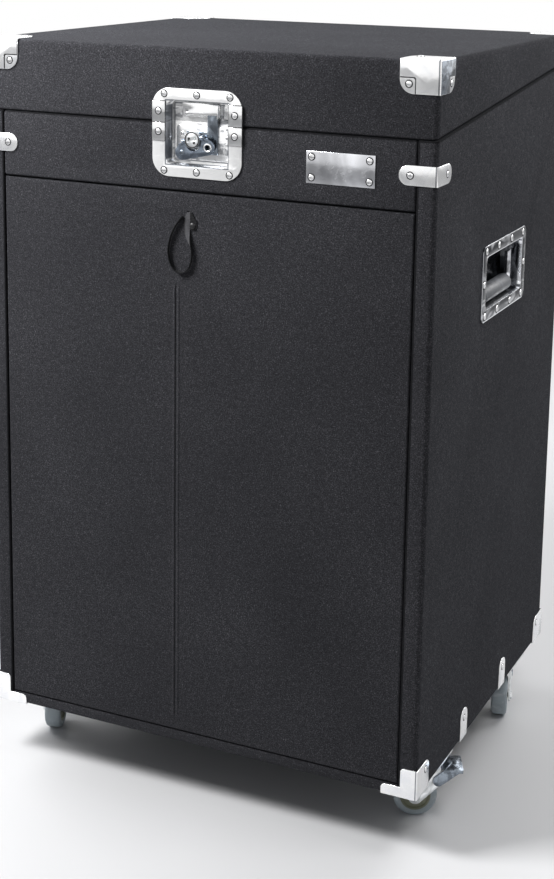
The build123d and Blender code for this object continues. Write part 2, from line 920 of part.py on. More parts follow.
front_cover = make_cover(0, panel_t, 0) - loop_slit()
front_loop = make_pull_loop()
rear_cover = make_cover(case_d - panel_t, case_d, case_d) - to_back(loop_slit())
rear_loop = to_back(front_loop)


# Casters, drawn with the swivel axis at x = y = 0, the case's underside at z = 0 and the wheel trailing to -x
axle_z = wheel_r - caster_h
fork_in = wheel_w / 2 + fork_gap
fork_out = fork_in + fork_t
race_low = -caster_plate_t - race_h
fork_top_z = race_low - race_gap


def make_caster_plate():
    plate = top_solid(RectangleRounded(caster_plate_x, caster_plate_y, caster_plate_r), -caster_plate_t, 0)
    race = top_solid(Circle(race_r), race_low, -caster_plate_t)
    race = chamfer(race.edges().sort_by(Axis.Z)[0], length=race_edge)
    holes = [Pos(x, y) * Circle(caster_bolt_hole_r) for x, y in caster_bolt_spots()]
    head_z = fork_top_z - fork_top_t - race_gap
    pin = top_solid(Circle(king_pin_r), head_z, -caster_plate_t)
    head = top_solid(Circle(king_pin_r + 2.5), head_z - king_head_t, head_z)
    return plate + race + pin + head - top_solid(Sketch() + holes, -caster_plate_t - 0.01, 1)


def caster_bolt_spots():
    return [(sx * caster_bolt_x / 2, sy * caster_bolt_y / 2) for sx in (-1, 1) for sy in (-1, 1)]


def make_caster_bolts():
    head = RegularPolygon(caster_bolt_r, 6)
    return [
        top_solid(Pos(x, y) * head, -caster_plate_t - caster_bolt_h, -caster_plate_t) for x, y in caster_bolt_spots()
    ]


def cheek(sketch, inner, outer):
    """The same outline on both sides of the wheel."""
    one = front_solid(sketch, inner, outer)
    return [one, mirror(one, about=Plane.XZ)]


def make_fork():
    """Pressed fork: a crown disc and two raked legs bored for the axle."""
    crown = top_solid(Circle(race_r), fork_top_z - fork_top_t, fork_top_z)
    leg = round_hull([
        (-trail, axle_z, fork_boss_r),
        (-trail + 1, fork_top_z - 4, 4.0),
        (10, fork_top_z - 4, 4.0),
        (pedal_pivot_x, -pedal_pivot_drop, pedal_rod_r + 3.0),
    ])
    leg = leg - Pos(-trail, axle_z) * Circle(axle_r + axle_fit)
    leg = leg - Pos(pedal_pivot_x, -pedal_pivot_drop) * Circle(pedal_rod_r + axle_fit)
    legs = cheek(leg, fork_in, fork_out)
    bridge = box(-trail + 2, 12, -fork_out, fork_out, fork_top_z - fork_top_t, fork_top_z)
    return crown + bridge + legs - Cylinder(king_pin_r + pivot_fit, caster_h)


def make_axle():
    """Axle bolt through both legs with a head and a nut."""
    span = fork_out + 0.1
    turn = Pos(-trail, 0, axle_z) * Rot(90, 0, 0)
    shank = turn * Cylinder(axle_r, 2 * span)
    head = Pos(-trail, axle_z) * RegularPolygon(axle_head_r, 6)
    return shank + cheek(head, span, span + axle_head_t)


def make_wheel():
    """Tyre and core with a parting groove on each side."""
    wheel = Cylinder(wheel_r, wheel_w)
    wheel = chamfer(rim_edges(wheel, wheel_r), length=wheel_shoulder / 3, length2=wheel_shoulder)
    wheel = wheel - Cylinder(axle_r + axle_fit, wheel_w)
    ring = Cylinder(wheel_core_r + 0.8, 2 * wheel_groove) - Cylinder(wheel_core_r, 2 * wheel_groove)
    for way in (-1, 1):
        wheel = wheel - Pos(0, 0, way * wheel_w / 2) * ring
    return Pos(-trail, 0, axle_z) * Rot(90, 0, 0) * wheel


def make_pedal():
    """Brake pedal: two side flanges on the pivot and a tread plate that reaches out past the fork."""
    pivot = (pedal_pivot_x, -pedal_pivot_drop)
    inner = fork_out + pedal_gap
    outer = inner + pedal_t
    plate_z = fork_top_z - 2.5
    end = round_hull([(*pivot, 6.0), (pedal_end_x - 2.5, plate_z - 1.6, 1.5), (race_r + 3.5, plate_z - 1.6, 1.5)])
    flanges = cheek(end, inner, outer)
    tread = box(race_r + 2, pedal_end_x, -outer, outer, plate_z - pedal_t, plate_z)
    lip = box(pedal_end_x - pedal_t, pedal_end_x, -outer, outer, plate_z - 4, plate_z)
    rod = Pos(pedal_pivot_x, 0, -pedal_pivot_drop) * Rot(90, 0, 0) * Cylinder(pedal_rod_r, 2 * outer)
    return tread + lip + flanges + rod


# Swivel angle of each caster as photographed: the way its pedal points, in degrees from +X
caster_angles = {
    "front_right": 24.6,
    "front_left": 110.0,
    "rear_right": 105.0,
    "rear_left": 155.4,
}


def caster_spot(name):
    x = caster_x if name.endswith("right") else -caster_x
    y = caster_inset_y if name.startswith("front") else case_d - caster_inset_y
    return x, y


parts = {
    "side_panel_right": side_panel_right,
    "side_panel_left": side_panel_left,
    "base_panel": base_panel,
    "front_header": front_header,
    "rear_header": rear_header,
    "cover_stops": make_cover_stops(),
    "rack_rail_front_right": rack_rail_front_right,
    "rack_rail_front_left": rack_rail_front_left,
    "rack_rail_rear_right": rack_rail_rear_right,
    "rack_rail_rear_left": rack_rail_rear_left,
    "top_rail_right": top_rail_right,
    "top_rail_left": top_rail_left,
    "cage_nuts": make_cage_nuts(),
    "rail_screws": make_rail_screws(),
    "nameplate": nameplate,
    "header_braces": make_header_braces(),
    "foot_corners": group(four_corners(make_foot_corner())),
    "edge_straps": make_edge_straps(),
    "trim_rivets": make_trim_rivets(),
    "lid_top": lid_top,
    "lid_front": lid_front,
    "lid_rear": lid_rear,
    "lid_side_right": lid_side_right,
    "lid_side_left": lid_side_left,
    "lid_corners": group(four_corners(make_lid_corner())),
    "lid_rivets": make_lid_rivets(),
    "latch_tray": latch_tray,
    "latch_plate": make_latch_plate(),
    "latch_hub": make_latch_hub(),
    "latch_wing": make_latch_wing(),
    "latch_claw": make_latch_claw(),
    "latch_lid_tray": latch_lid_tray,
    "latch_keeper": make_keeper(),
    "hinge_body_leaves": group(both_sides(body_leaf)),
    "hinge_lid_leaves": group(both_sides(lid_leaf)),
    "hinge_pins": group(both_sides(hinge_pin)),
    "front_cover": front_cover,
    "front_pull_loop": front_loop,
    "rear_cover": rear_cover,
    "rear_pull_loop": rear_loop,
}
for side, pieces in (("right", lambda s: s), ("left", lambda s: mirror(s, about=Plane.YZ))):
    parts["handle_dish_" + side] = pieces(make_handle_dish())
    parts["handle_bail_" + side] = pieces(make_bail())
    parts["handle_grip_" + side] = pieces(make_grip())

plates = []
bolts = []
for name, angle in caster_angles.items():
    x, y = caster_spot(name)
    spot = Pos(x, y, floor_z)
    turned = spot * Rot(0, 0, angle)
    plates.append(spot * make_caster_plate())
    bolts += [spot * bolt for bolt in make_caster_bolts()]
    parts["caster_fork_" + name] = group([turned * make_fork(), turned * make_axle()])
    parts["caster_wheel_" + name] = turned * make_wheel()
    parts["caster_pedal_" + name] = turned * make_pedal()
parts["caster_plates"] = group(plates)
parts["caster_bolts"] = group(bolts)

# The origin is the middle of the whole box, on the floor
whole = group(parts.values()).bounding_box()
shift = Pos(-(whole.min.X + whole.max.X) / 2, -(whole.min.Y + whole.max.Y) / 2, -whole.min.Z)

for name, piece in parts.items():
    export_step(group([shift * solid for solid in piece.solids()]), "parts/" + name + ".step")

print("nodes", len(parts))
print("low corner", tuple(round(v, 4) for v in whole.min))
print("high corner", tuple(round(v, 4) for v in whole.max))
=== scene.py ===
import json
from math import cos, pi, radians, sin

import bmesh
import bpy
from mathutils import Matrix, Vector

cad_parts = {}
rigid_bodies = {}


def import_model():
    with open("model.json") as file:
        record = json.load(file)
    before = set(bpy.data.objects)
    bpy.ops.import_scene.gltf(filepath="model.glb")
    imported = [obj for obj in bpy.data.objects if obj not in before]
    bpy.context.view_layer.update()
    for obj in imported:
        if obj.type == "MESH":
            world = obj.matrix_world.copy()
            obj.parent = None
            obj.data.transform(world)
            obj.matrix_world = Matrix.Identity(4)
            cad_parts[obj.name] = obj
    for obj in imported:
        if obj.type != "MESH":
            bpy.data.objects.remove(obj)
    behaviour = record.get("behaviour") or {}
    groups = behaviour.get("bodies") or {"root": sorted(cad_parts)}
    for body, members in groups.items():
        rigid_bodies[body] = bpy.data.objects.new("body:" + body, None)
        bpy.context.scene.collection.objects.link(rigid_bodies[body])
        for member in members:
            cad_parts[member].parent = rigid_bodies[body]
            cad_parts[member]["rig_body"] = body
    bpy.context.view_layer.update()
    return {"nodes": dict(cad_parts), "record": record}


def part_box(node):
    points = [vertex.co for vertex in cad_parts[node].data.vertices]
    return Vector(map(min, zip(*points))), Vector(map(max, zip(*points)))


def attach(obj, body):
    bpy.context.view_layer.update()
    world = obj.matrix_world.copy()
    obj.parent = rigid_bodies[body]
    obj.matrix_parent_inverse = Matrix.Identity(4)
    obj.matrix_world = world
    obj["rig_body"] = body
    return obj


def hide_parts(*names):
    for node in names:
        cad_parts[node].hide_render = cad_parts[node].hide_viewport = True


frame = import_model()
nodes = frame["nodes"]
rack_case = bpy.context.scene

# Sizes of the case in millimetres: X across, Y back from the front face, Z up from the underside
HALF_W = 266.5
INNER = 245.5
DEPTH = 473.0
HEIGHT = 789.0
SPLIT_FRONT = 709.0
SPLIT_BACK = 754.0
HEADER = 636.0
PANEL = 13.0
LID_TOP = 14.0
CASTER = 70.0
TRIM = 1.5
SIDE_X = HALF_W + TRIM

# Middles of the fittings, in the same millimetres
LATCH_X = -1.5
HUB_X = -8.5
HUB_Z = SPLIT_FRONT - 17.2
PLATE_X = 163.0
PLATE_Z = 674.0
HANDLE_Y = 238.0
HANDLE_Z = 532.0
LOOP_X = -6.0
LOOP_Z = 600.0

# Edges that turn by more degrees than this are rounded
EDGE_TURN = 28.0


def split_h(y):
    """Height of the lid joint at a depth into the case."""
    return SPLIT_FRONT + (SPLIT_BACK - SPLIT_FRONT) * y / DEPTH


def at(x, y, z):
    """A place on the case, from millimetres to metres in the shared frame."""
    return Vector((x, y - DEPTH / 2, z + CASTER)) / 1000


# Shader values that take part in sums like numbers
class Wire:
    def __init__(self, finish, socket):
        self.finish = finish
        self.socket = socket

    def sum_node(self, operation, a, b=None):
        values = {0: a} if b is None else {0: a, 1: b}
        return self.finish.add("ShaderNodeMath", {"operation": operation}, values)

    def __add__(self, other):
        return self.sum_node("ADD", self, other)

    def __sub__(self, other):
        return self.sum_node("SUBTRACT", self, other)

    def __rsub__(self, other):
        return self.sum_node("SUBTRACT", other, self)

    def __mul__(self, other):
        return self.sum_node("MULTIPLY", self, other)

    def __abs__(self):
        return self.sum_node("ABSOLUTE", self)

    def __lt__(self, other):
        return self.sum_node("LESS_THAN", self, other)

    def least(self, other):
        return self.sum_node("MINIMUM", self, other)

    def most(self, other):
        return self.sum_node("MAXIMUM", self, other)

    def smooth(self, low, high, to_low=0.0, to_high=1.0):
        """An eased step from to_low at low up to to_high at high."""
        return self.finish.add(
            "ShaderNodeMapRange",
            {"interpolation_type": "SMOOTHSTEP"},
            {"Value": self, "From Min": low, "From Max": high, "To Min": to_low, "To Max": to_high},
        )


class Finish:
    """One procedural material, drawn on Object coordinates in metres."""

    def __init__(self, name):
        self.material = bpy.data.materials.new(name)
        self.material.use_nodes = True
        self.tree = self.material.node_tree
        self.tree.nodes.clear()
        place = self.tree.nodes.new("ShaderNodeTexCoord")
        self.place = Wire(self, place.outputs["Object"])
        parts = self.tree.nodes.new("ShaderNodeSeparateXYZ")
        self.tree.links.new(place.outputs["Object"], parts.inputs[0])
        self.x, self.y, self.z = (Wire(self, parts.outputs[i]) for i in range(3))

    def add(self, kind, settings, values, out=0):
        """A node of a kind: its settings first, then the values or links of its sockets."""
        node = self.tree.nodes.new(kind)
        for key, value in settings.items():
            if key == "stops":
                ramp = node.color_ramp
                while len(ramp.elements) < len(value):
                    ramp.elements.new(0.5)
                for element, (spot, shade) in zip(ramp.elements, value):
                    element.position = spot
                    element.color = shade if len(shade) == 4 else (*shade, 1)
            else:
                setattr(node, key, value)
        for key, value in values.items():
            if isinstance(value, Wire):
                self.tree.links.new(value.socket, node.inputs[key])
            else:
                node.inputs[key].default_value = value
        return Wire(self, node.outputs[out])

    def noise(self, scale, detail=3.0, rough=0.55, place=None, warp=0.0):
        values = {"Vector": place or self.place, "Scale": scale, "Detail": detail}
        return self.add("ShaderNodeTexNoise", {}, {**values, "Roughness": rough, "Distortion": warp})

    def stretched(self, scale):
        """Object coordinates stretched along an axis, for grain and brushing."""
        return self.add("ShaderNodeMapping", {}, {"Vector": self.place, "Scale": scale})

    def brushed(self, grain=(40, 40, 40)):
        """Fine marks of rubbing on plated metal."""
        return self.noise(900, 2, 0.5, place=self.stretched(grain))

    def waves(self, way, scale, warp, detail, fine):
        """Bands along one axis, for weave and plies."""
        return self.add("ShaderNodeTexWave", {"bands_direction": way}, {
            "Vector": self.place, "Scale": scale, "Distortion": warp, "Detail": detail, "Detail Scale": fine,
        }, out=1)

    def ramp(self, value, stops):
        return self.add("ShaderNodeValToRGB", {"stops": stops}, {"Fac": value})

    def blend(self, amount, a, b):
        return self.add("ShaderNodeMix", {"data_type": "RGBA"}, {0: amount, 6: a, 7: b}, out=2)

    def bump(self, height, strength, distance, normal=None):
        values = {"Height": height, "Strength": strength, "Distance": distance}
        if normal is not None:
            values["Normal"] = normal
        return self.add("ShaderNodeBump", {}, values)

    def surface(self, **values):
        """The finished surface, from the names of the main shader's sockets."""
        named = {key.replace("_", " "): value for key, value in values.items()}
        shader = self.add("ShaderNodeBsdfPrincipled", {}, named)
        output = self.tree.nodes.new("ShaderNodeOutputMaterial")
        self.tree.links.new(shader.socket, output.inputs["Surface"])
        return self.material


def rgb(r, g, b):
    """A colour given in screen values from 0 to 255, as a linear colour."""
    def linear(v):
        v = v / 255
        return v / 12.92 if v <= 0.04045 else ((v + 0.055) / 1.055) ** 2.4
    return (linear(r), linear(g), linear(b), 1.0)


# Finishes
def carpet_finish(name, seam=False):
    """Charcoal felt carpet: matted fibres, slow patches and painted shade in thin bands along the joins
    between the case's panels.
    """
    f = Finish(name)
    fibre = f.noise(820, 4, 0.7, warp=0.6)
    clump = f.noise(190, 3, 0.6)
    patch = f.noise(7, 2, 0.5)
    lift = fibre * 0.8 + clump * 0.12 + patch * 0.08
    colour = f.ramp(lift, [
        (0.36, rgb(26, 26, 28)),
        (0.48, rgb(44, 44, 47)),
        (0.56, rgb(56, 56, 59)),
        (0.68, rgb(104, 104, 109)),
    ])
    # Painted shade: the colour darkens in thin bands along the lid joint, the header joint and the corner
    # posts
    slope = (SPLIT_BACK - SPLIT_FRONT) / DEPTH
    joint_z = f.y * slope + (CASTER + (SPLIT_FRONT + SPLIT_BACK) / 2) / 1000
    lid_joint_shade = 1.0 - abs(f.z - joint_z).smooth(0.0008, 0.0028)
    from_post = abs(f.x) - (INNER + 0.5) / 1000
    header_joint_shade = 1.0 - abs(f.z - (HEADER + CASTER) / 1000).smooth(0.0006, 0.0022)
    header_joint_shade = header_joint_shade * (from_post < 0.0)
    post_joint_shade = 1.0 - abs(from_post).smooth(0.0008, 0.0026)
    post_joint_shade = post_joint_shade * (f.z < (SPLIT_FRONT + CASTER) / 1000)
    ends = abs(f.y).smooth(0.225, 0.2285)
    joint_shade = lid_joint_shade.most(header_joint_shade.most(post_joint_shade) * ends)
    colour = f.blend(joint_shade * 0.85, colour, rgb(9, 9, 10))
    height = fibre * 0.7 + clump * 0.5
    if seam:
        seam_x, welt = -0.0258, 0.0026
        side = abs(f.x - seam_x)
        low = f.z.smooth(0.095, 0.11) * (1.0 - f.z.smooth(0.598, 0.606))
        groove = (1.0 - side.smooth(0.0002, 0.0016)) * low
        ridge = (1.0 - abs(side - welt).smooth(0.0, 0.0022)) * low
        height = height + ridge * 0.9 - groove * 1.1
        # The seam's groove is also darkened in colour: painted shade
        colour = f.blend(groove * 0.25, colour, rgb(16, 16, 18))
    return f.surface(
        Base_Color=colour,
        Roughness=0.96,
        Sheen_Weight=0.03,
        Sheen_Roughness=0.6,
        Sheen_Tint=(0.8, 0.84, 0.95, 1),
        Specular_IOR_Level=0.04,
        Normal=f.bump(height, 0.85, 0.0011),
    )


def bright_finish(name, tone, streak=0.35, base_rough=0.09, cloud=26.0, grain=(40, 40, 40)):
    """Bright plated sheet: painted streaks of reflection in its colour, fine rubbing marks and slightly dull
    patches.
    """
    f = Finish(name)
    slow = f.noise(cloud, 3, 0.55, warp=1.6)
    fine = f.brushed(grain)
    rubbed = f.noise(150, 4, 0.7)
    # Painted reflection: the colour is streaked between the tone and a darker copy of it
    dark = tuple(c * (1 - streak) for c in tone[:3]) + (1,)
    colour = f.blend(slow.smooth(0.38, 0.6), dark, tone)
    rough = rubbed.smooth(0.35, 0.75, base_rough, base_rough + 0.16) + fine * 0.05
    waves = f.bump(slow, 0.25, 0.0016)
    return f.surface(
        Base_Color=colour,
        Metallic=1.0,
        Roughness=rough,
        Normal=f.bump(fine * 0.6 + rubbed * 0.4, 0.12, 0.00025, waves),
    )


def trim_finish(name):
    """Bright nickelled trim: nearly white with a painted cloudy reflection, and a painted dark reflection
    line along each upright bend.
    """
    bend_x = 0.2661
    f = Finish(name)
    slow = f.noise(22, 3, 0.55, warp=1.4)
    rubbed = f.noise(150, 4, 0.7)
    fine = f.brushed()
    # Painted reflection: a dark line along each upright bend, and a slight cloudiness in the white
    bend = 1.0 - abs(abs(f.x) - bend_x).smooth(0.0003, 0.001)
    base = f.blend(slow.smooth(0.36, 0.6), (0.9, 0.91, 0.93, 1), (1.0, 1.0, 1.0, 1))
    return f.surface(
        Base_Color=f.blend(bend * 0.85, base, (0.07, 0.08, 0.1, 1)),
        Metallic=0.82,
        Roughness=rubbed.smooth(0.35, 0.75, 0.1, 0.24) + fine * 0.04,
        Normal=f.bump(fine * 0.6 + rubbed * 0.4, 0.12, 0.00025, f.bump(slow, 0.2, 0.0014)),
    )


def latch_finish(name):
    """Bright pressed latch: a white flange, painted dark reflection lines round the dish and painted dark
    streaks of reflection inside it.
    """
    half_x, half_z = 0.0375, 0.0346
    middle_z = 0.7686
    first_line, second_line = 0.0002, 0.0042
    f = Finish(name)
    slow = f.noise(62, 3, 0.5, place=f.stretched((1, 1, 1.5)), warp=1.2)
    rubbed = f.noise(150, 4, 0.7)
    fine = f.brushed()
    # Painted reflection: two dark lines follow the dish's rim, and slow dark streaks lie inside it
    rim = (half_x - abs(f.x - LATCH_X / 1000)).least(half_z - abs(f.z - middle_z))
    outer_line = 1.0 - abs(rim - first_line).smooth(0.0004, 0.0012)
    inner_line = 1.0 - abs(rim - second_line).smooth(0.0003, 0.0009)
    line = outer_line.most(inner_line)
    inside = rim.smooth(0.0012, 0.002)
    dark = (slow.smooth(0.54, 0.6) * inside * 0.6).most(line * 0.85)
    return f.surface(
        Base_Color=f.blend(dark, (1.0, 1.0, 1.0, 1), (0.1, 0.115, 0.14, 1)),
        Metallic=0.6,
        Roughness=rubbed.smooth(0.35, 0.75, 0.07, 0.2) + fine * 0.04,
        Normal=f.bump(fine * 0.6 + rubbed * 0.4, 0.12, 0.00025, f.bump(slow, 0.3, 0.0012)),
    )


def handle_finish(name, dish):
    """Plated dish: a near-black base as painted dark reflection, with painted highlights on its rims and
    streaks, dimmed in its deep middle as painted shade.
    """
    lip_in = 0.0132
    f = Finish(name)
    low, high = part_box(dish)
    inside_y = (high[1] - low[1]) / 2 - abs(f.y - (low[1] + high[1]) / 2)
    inside_z = (high[2] - low[2]) / 2 - abs(f.z - (low[2] + high[2]) / 2)
    rim = inside_y.least(inside_z)
    outer = 1.0 - rim.smooth(0.0007, 0.0016)
    lip = 1.0 - abs(rim - lip_in).smooth(0.0004, 0.0014)
    slow = f.noise(24, 2, 0.5, place=f.stretched((1, 0.6, 2.2)), warp=0.8)
    fine = f.brushed()
    # Painted highlights on the rims and streaks; where the dish is deep they are dimmed as painted shade
    streak = slow.smooth(0.49, 0.59)
    deep = 1.0 - abs(f.x).smooth(0.2625, 0.2655)
    bright = (streak * (0.7 - deep * 0.45)).most(outer).most(lip * (1.0 - deep))
    return f.surface(
        Base_Color=f.blend(bright, (0.085, 0.09, 0.1, 1), (0.86, 0.87, 0.9, 1)),
        Metallic=1.0,
        Roughness=slow.smooth(0.3, 0.7, 0.1, 0.22) + fine * 0.04,
        Normal=f.bump(slow * 0.8 + fine * 0.05, 0.25, 0.0015),
    )


def painted_finish(name, tone, grain=1400.0, base_rough=0.45):
    """Powder coat with a fine orange peel and lightly worn tone."""
    f = Finish(name)
    peel = f.noise(grain, 3, 0.5)
    dust = f.noise(22, 4, 0.6)
    pale = tuple(min(1.0, c * 1.8 + 0.01) for c in tone[:3]) + (1,)
    return f.surface(
        Base_Color=f.blend(dust.smooth(0.45, 0.85, 0.0, 0.6), tone, pale),
        Roughness=dust.smooth(0.3, 0.8, base_rough, base_rough + 0.2),
        Normal=f.bump(peel, 0.3, 0.0003),
    )


def rubber_finish(name, tone, wear_and_sheen, base_rough=0.55):
    """Moulded rubber: matt skin with scuffed paler patches."""
    f = Finish(name)
    skin = f.noise(1100, 3, 0.6)
    scuff = f.noise(60, 5, 0.65, warp=0.8)
    return f.surface(
        Base_Color=f.blend(scuff.smooth(0.48, 0.72), tone, wear_and_sheen),
        Roughness=scuff.smooth(0.3, 0.8, base_rough, base_rough + 0.25),
        Normal=f.bump(skin * 0.6 + scuff * 0.4, 0.3, 0.0003),
    )


def webbing_finish(name):
    """Black woven webbing: fine ribs crossed by finer ones, with a paler patch of painted sheen on the flat
    part near the tab.
    """
    f = Finish(name)
    rib = f.waves("Z", 190.0, 0.6, 1.0, 2.0)
    cross = f.waves("Y", 260.0, 0.4, 1.0, 2.0)
    fuzz = f.noise(1500, 2)
    weave = rib * 0.6 + cross * 0.4
    # Painted sheen: the flat part of the band near the tab is made paler
    wear_and_sheen = f.x.smooth(-0.0165, -0.0135) * (1.0 - f.x.smooth(-0.0095, -0.0085)) * f.z.smooth(0.642, 0.654)
    return f.surface(
        Base_Color=f.blend(wear_and_sheen * 0.36, f.ramp(weave * 0.75 + fuzz * 0.25, [
            (0.2, rgb(5, 5, 6)), (0.55, rgb(15, 15, 17)), (0.85, rgb(38, 38, 41)),
        ]), rgb(112, 112, 116)),
        Roughness=0.72,
        Sheen_Weight=0.04,
        Sheen_Roughness=0.4,
        Specular_IOR_Level=0.15,
        Normal=f.bump(weave, 0.6, 0.0004),
    )


def plywood_finish(name):
    """Bare plywood with grain along the batten and thin darker plies."""
    f = Finish(name)
    grain = f.noise(60, 5, 0.6, place=f.stretched((6, 6, 0.35)), warp=0.8)
    ply = f.waves("Y", 90.0, 1.2, 2.0, 1.5)
    return f.surface(
        Base_Color=f.ramp(grain * 0.7 + ply * 0.3, [
            (0.25, rgb(150, 108, 66)), (0.5, rgb(186, 145, 96)), (0.8, rgb(212, 177, 130)),
        ]),
        Roughness=0.72,
        Normal=f.bump(grain, 0.3, 0.0004),
    )


carpet = carpet_finish("charcoal_carpet")
seamed_carpet = carpet_finish("charcoal_carpet_with_butt_seam", seam=True)
# Painted shade: the corner cheeks get a darker copy of the bright trim, because less light falls on that side
cheek_painted_shade = bright_finish("cheek_painted_shade", (0.42, 0.46, 0.52, 1), 0.5, 0.1, 60.0)
trim_bright = trim_finish("bright_trim")
latch_bright = latch_finish("latch_bright")
keeper_bright = bright_finish("keeper_bright", (0.98, 0.985, 0.99, 1), 0.1, 0.08, 34.0)
wing_slate = bright_finish("wing_slate", (0.24, 0.28, 0.34, 1), 0.35, 0.16, 50.0)
handle_bright = handle_finish("handle_bright", "handle_dish_right")
bail_bright = bright_finish("bail_bright", (0.8, 0.81, 0.84, 1), 0.6, 0.1, 60.0)
plate_bright = bright_finish("plate_polished", (0.9, 0.91, 0.95, 1), 0.42, 0.12, 9.0, (60, 60, 3))
rivet_bright = bright_finish("rivet_bright", (0.95, 0.955, 0.965, 1), 0.15, 0.08, 160.0)
zinc = bright_finish("zinc_plate", (0.86, 0.88, 0.89, 1), 0.25, 0.26, 70.0)
dark_plate = bright_finish("dark_slate_plate", (0.3, 0.34, 0.39, 1), 0.5, 0.16, 45.0)
rail_black = painted_finish("black_powder_coat", rgb(44, 44, 46))
screw_black = painted_finish("black_screw", rgb(20, 20, 22), 900.0, 0.3)
# Painted shade: black sheets, rings and domes set where shade falls, under the corner fields and clips, round
# rivets, the dish frame and the latch hub
shadow_black = painted_finish("painted_shade_black", rgb(14, 14, 16), 700.0, 0.7)
grip_rubber = rubber_finish("grip_rubber", rgb(84, 86, 90), rgb(112, 114, 119), 0.42)
tyre_rubber = rubber_finish("tyre_rubber", rgb(152, 162, 168), rgb(184, 190, 194), 0.5)
core_plastic = rubber_finish("wheel_core", rgb(116, 118, 98), rgb(150, 152, 132), 0.4)
webbing = webbing_finish("black_webbing")
plywood = plywood_finish("bare_plywood")


# Mesh helpers
def show(name, mesh, material=None, sharp=32.0):
    """An object for a mesh in place, smooth but for its sharp edges."""
    thing = bpy.data.objects.new(name, mesh)
    rack_case.collection.objects.link(thing)
    if material is not None:
        mesh.materials.clear()
        mesh.materials.append(material)
    mesh.shade_smooth()
    mesh.set_sharp_from_angle(angle=radians(sharp))
    return thing


def settle(thing, sharp=32.0):
    """Turn a piece's modifiers into its plain mesh."""
    bpy.context.view_layer.update()
    depsgraph = bpy.context.evaluated_depsgraph_get()
    mesh = bpy.data.meshes.new_from_object(thing.evaluated_get(depsgraph))
    thing.modifiers.clear()
    thing.data = mesh
    mesh.shade_smooth()
    mesh.set_sharp_from_angle(angle=radians(sharp))
    return thing


def mesh_from(bm, name):
    mesh = bpy.data.meshes.new(name)
    bm.to_mesh(mesh)
    bm.free()
    return mesh


def prism(points, shift):
    """A closed solid on a flat run of points, reaching along shift."""
    bm = bmesh.new()
    near = [bm.verts.new(p) for p in points]
    far = [bm.verts.new(p + shift) for p in points]
    bm.faces.new(near)
    bm.faces.new(reversed(far))
    for i in range(len(points)):
        j = (i + 1) % len(points)
        bm.faces.new((near[i], far[i], far[j], near[j]))
    bmesh.ops.recalc_face_normals(bm, faces=bm.faces)
    return bm


def weigh(bm, rule):
    """Set how far each sharp edge is rounded: rule gives a share of the full width for an edge's ends."""
    layer = bm.edges.layers.float.new("bevel_weight_edge")
    for edge in bm.edges:
        if len(edge.link_faces) == 2 and edge.calc_face_angle() > radians(EDGE_TURN):
            a, b = (v.co * 1000 for v in edge.verts)
            edge[layer] = rule(a, b)


def rounded(thing, width, segments, by_weight=True, angle=30.0):
    bevel = thing.modifiers.new("rounding", "BEVEL")
    bevel.width = width
    bevel.segments = segments
    bevel.limit_method = "WEIGHT" if by_weight else "ANGLE"
    bevel.angle_limit = radians(angle)
    bevel.use_clamp_overlap = True
    return thing


def cut(thing, cutter):
    """Take a closed cutter out of a piece."""
    tool = show("cutter", cutter)
    boolean = thing.modifiers.new("cut", "BOOLEAN")
    boolean.operation = "DIFFERENCE"
    boolean.solver = "EXACT"
    boolean.object = tool
    settle(thing)
    bpy.data.objects.remove(tool)
    return thing


def merged_copy(node):
    """A copy of a CAD node's mesh with its loose triangles joined into clean faces."""
    bm = bmesh.new()
    bm.from_mesh(nodes[node].data)
    bmesh.ops.remove_doubles(bm, verts=bm.verts, dist=2e-6)
    bmesh.ops.dissolve_limit(bm, angle_limit=radians(0.8), verts=bm.verts, edges=bm.edges)
    return bm


def dress(node, material, width, segments=2, angle=EDGE_TURN, sharp=35.0, rule=None):
    """A CAD node again with its edges eased as pressed or moulded ones are."""
    bm = merged_copy(node)
    if rule is not None:
        weigh(bm, rule)
    thing = show(node + "_dressed", mesh_from(bm, node + "_dressed"), material)
    rounded(thing, width, segments, rule is not None, angle)
    settle(thing, sharp)
    stand_for(thing, [node])
    return thing


def stand_for(thing, names, body=None):
    """Ride on the body of the CAD nodes that a piece stands for."""
    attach(thing, body or nodes[names[0]]["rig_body"])
    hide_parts(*names)
    slot = next((s["material_slot"] for s in frame["record"]["subparts"] if s["node"] == names[0]), None)


def lathe(profile, steps, ring=False):
    """A solid turned round Z from radius and height pairs, from axis to axis or closed as a ring."""
    bm = bmesh.new()
    turns = [2 * pi * i / steps for i in range(steps)]
    rings = []
    for r, z in profile:
        if r < 1e-9:
            rings.append([bm.verts.new((0, 0, z))])
        else:
            rings.append([bm.verts.new((r * cos(t), r * sin(t), z)) for t in turns])
    for low, high in zip(rings, rings[1:] + (rings[:1] if ring else [])):
        for i in range(steps):
            j = (i + 1) % steps
            if len(low) == 1 and len(high) > 1:
                bm.faces.new((low[0], high[j], high[i]))
            elif len(high) == 1 and len(low) > 1:
                bm.faces.new((low[i], low[j], high[0]))
            elif len(low) > 1:
                bm.faces.new((low[i], low[j], high[j], high[i]))
    bmesh.ops.recalc_face_normals(bm, faces=bm.faces)
    return bm


def arc(cx, cy, r, start, end, steps=5):
    """Points along a round corner, with angles in degrees."""
    turns = [radians(start + (end - start) * i / steps) for i in range(steps + 1)]
    return [(cx + r * cos(t), cy + r * sin(t)) for t in turns]


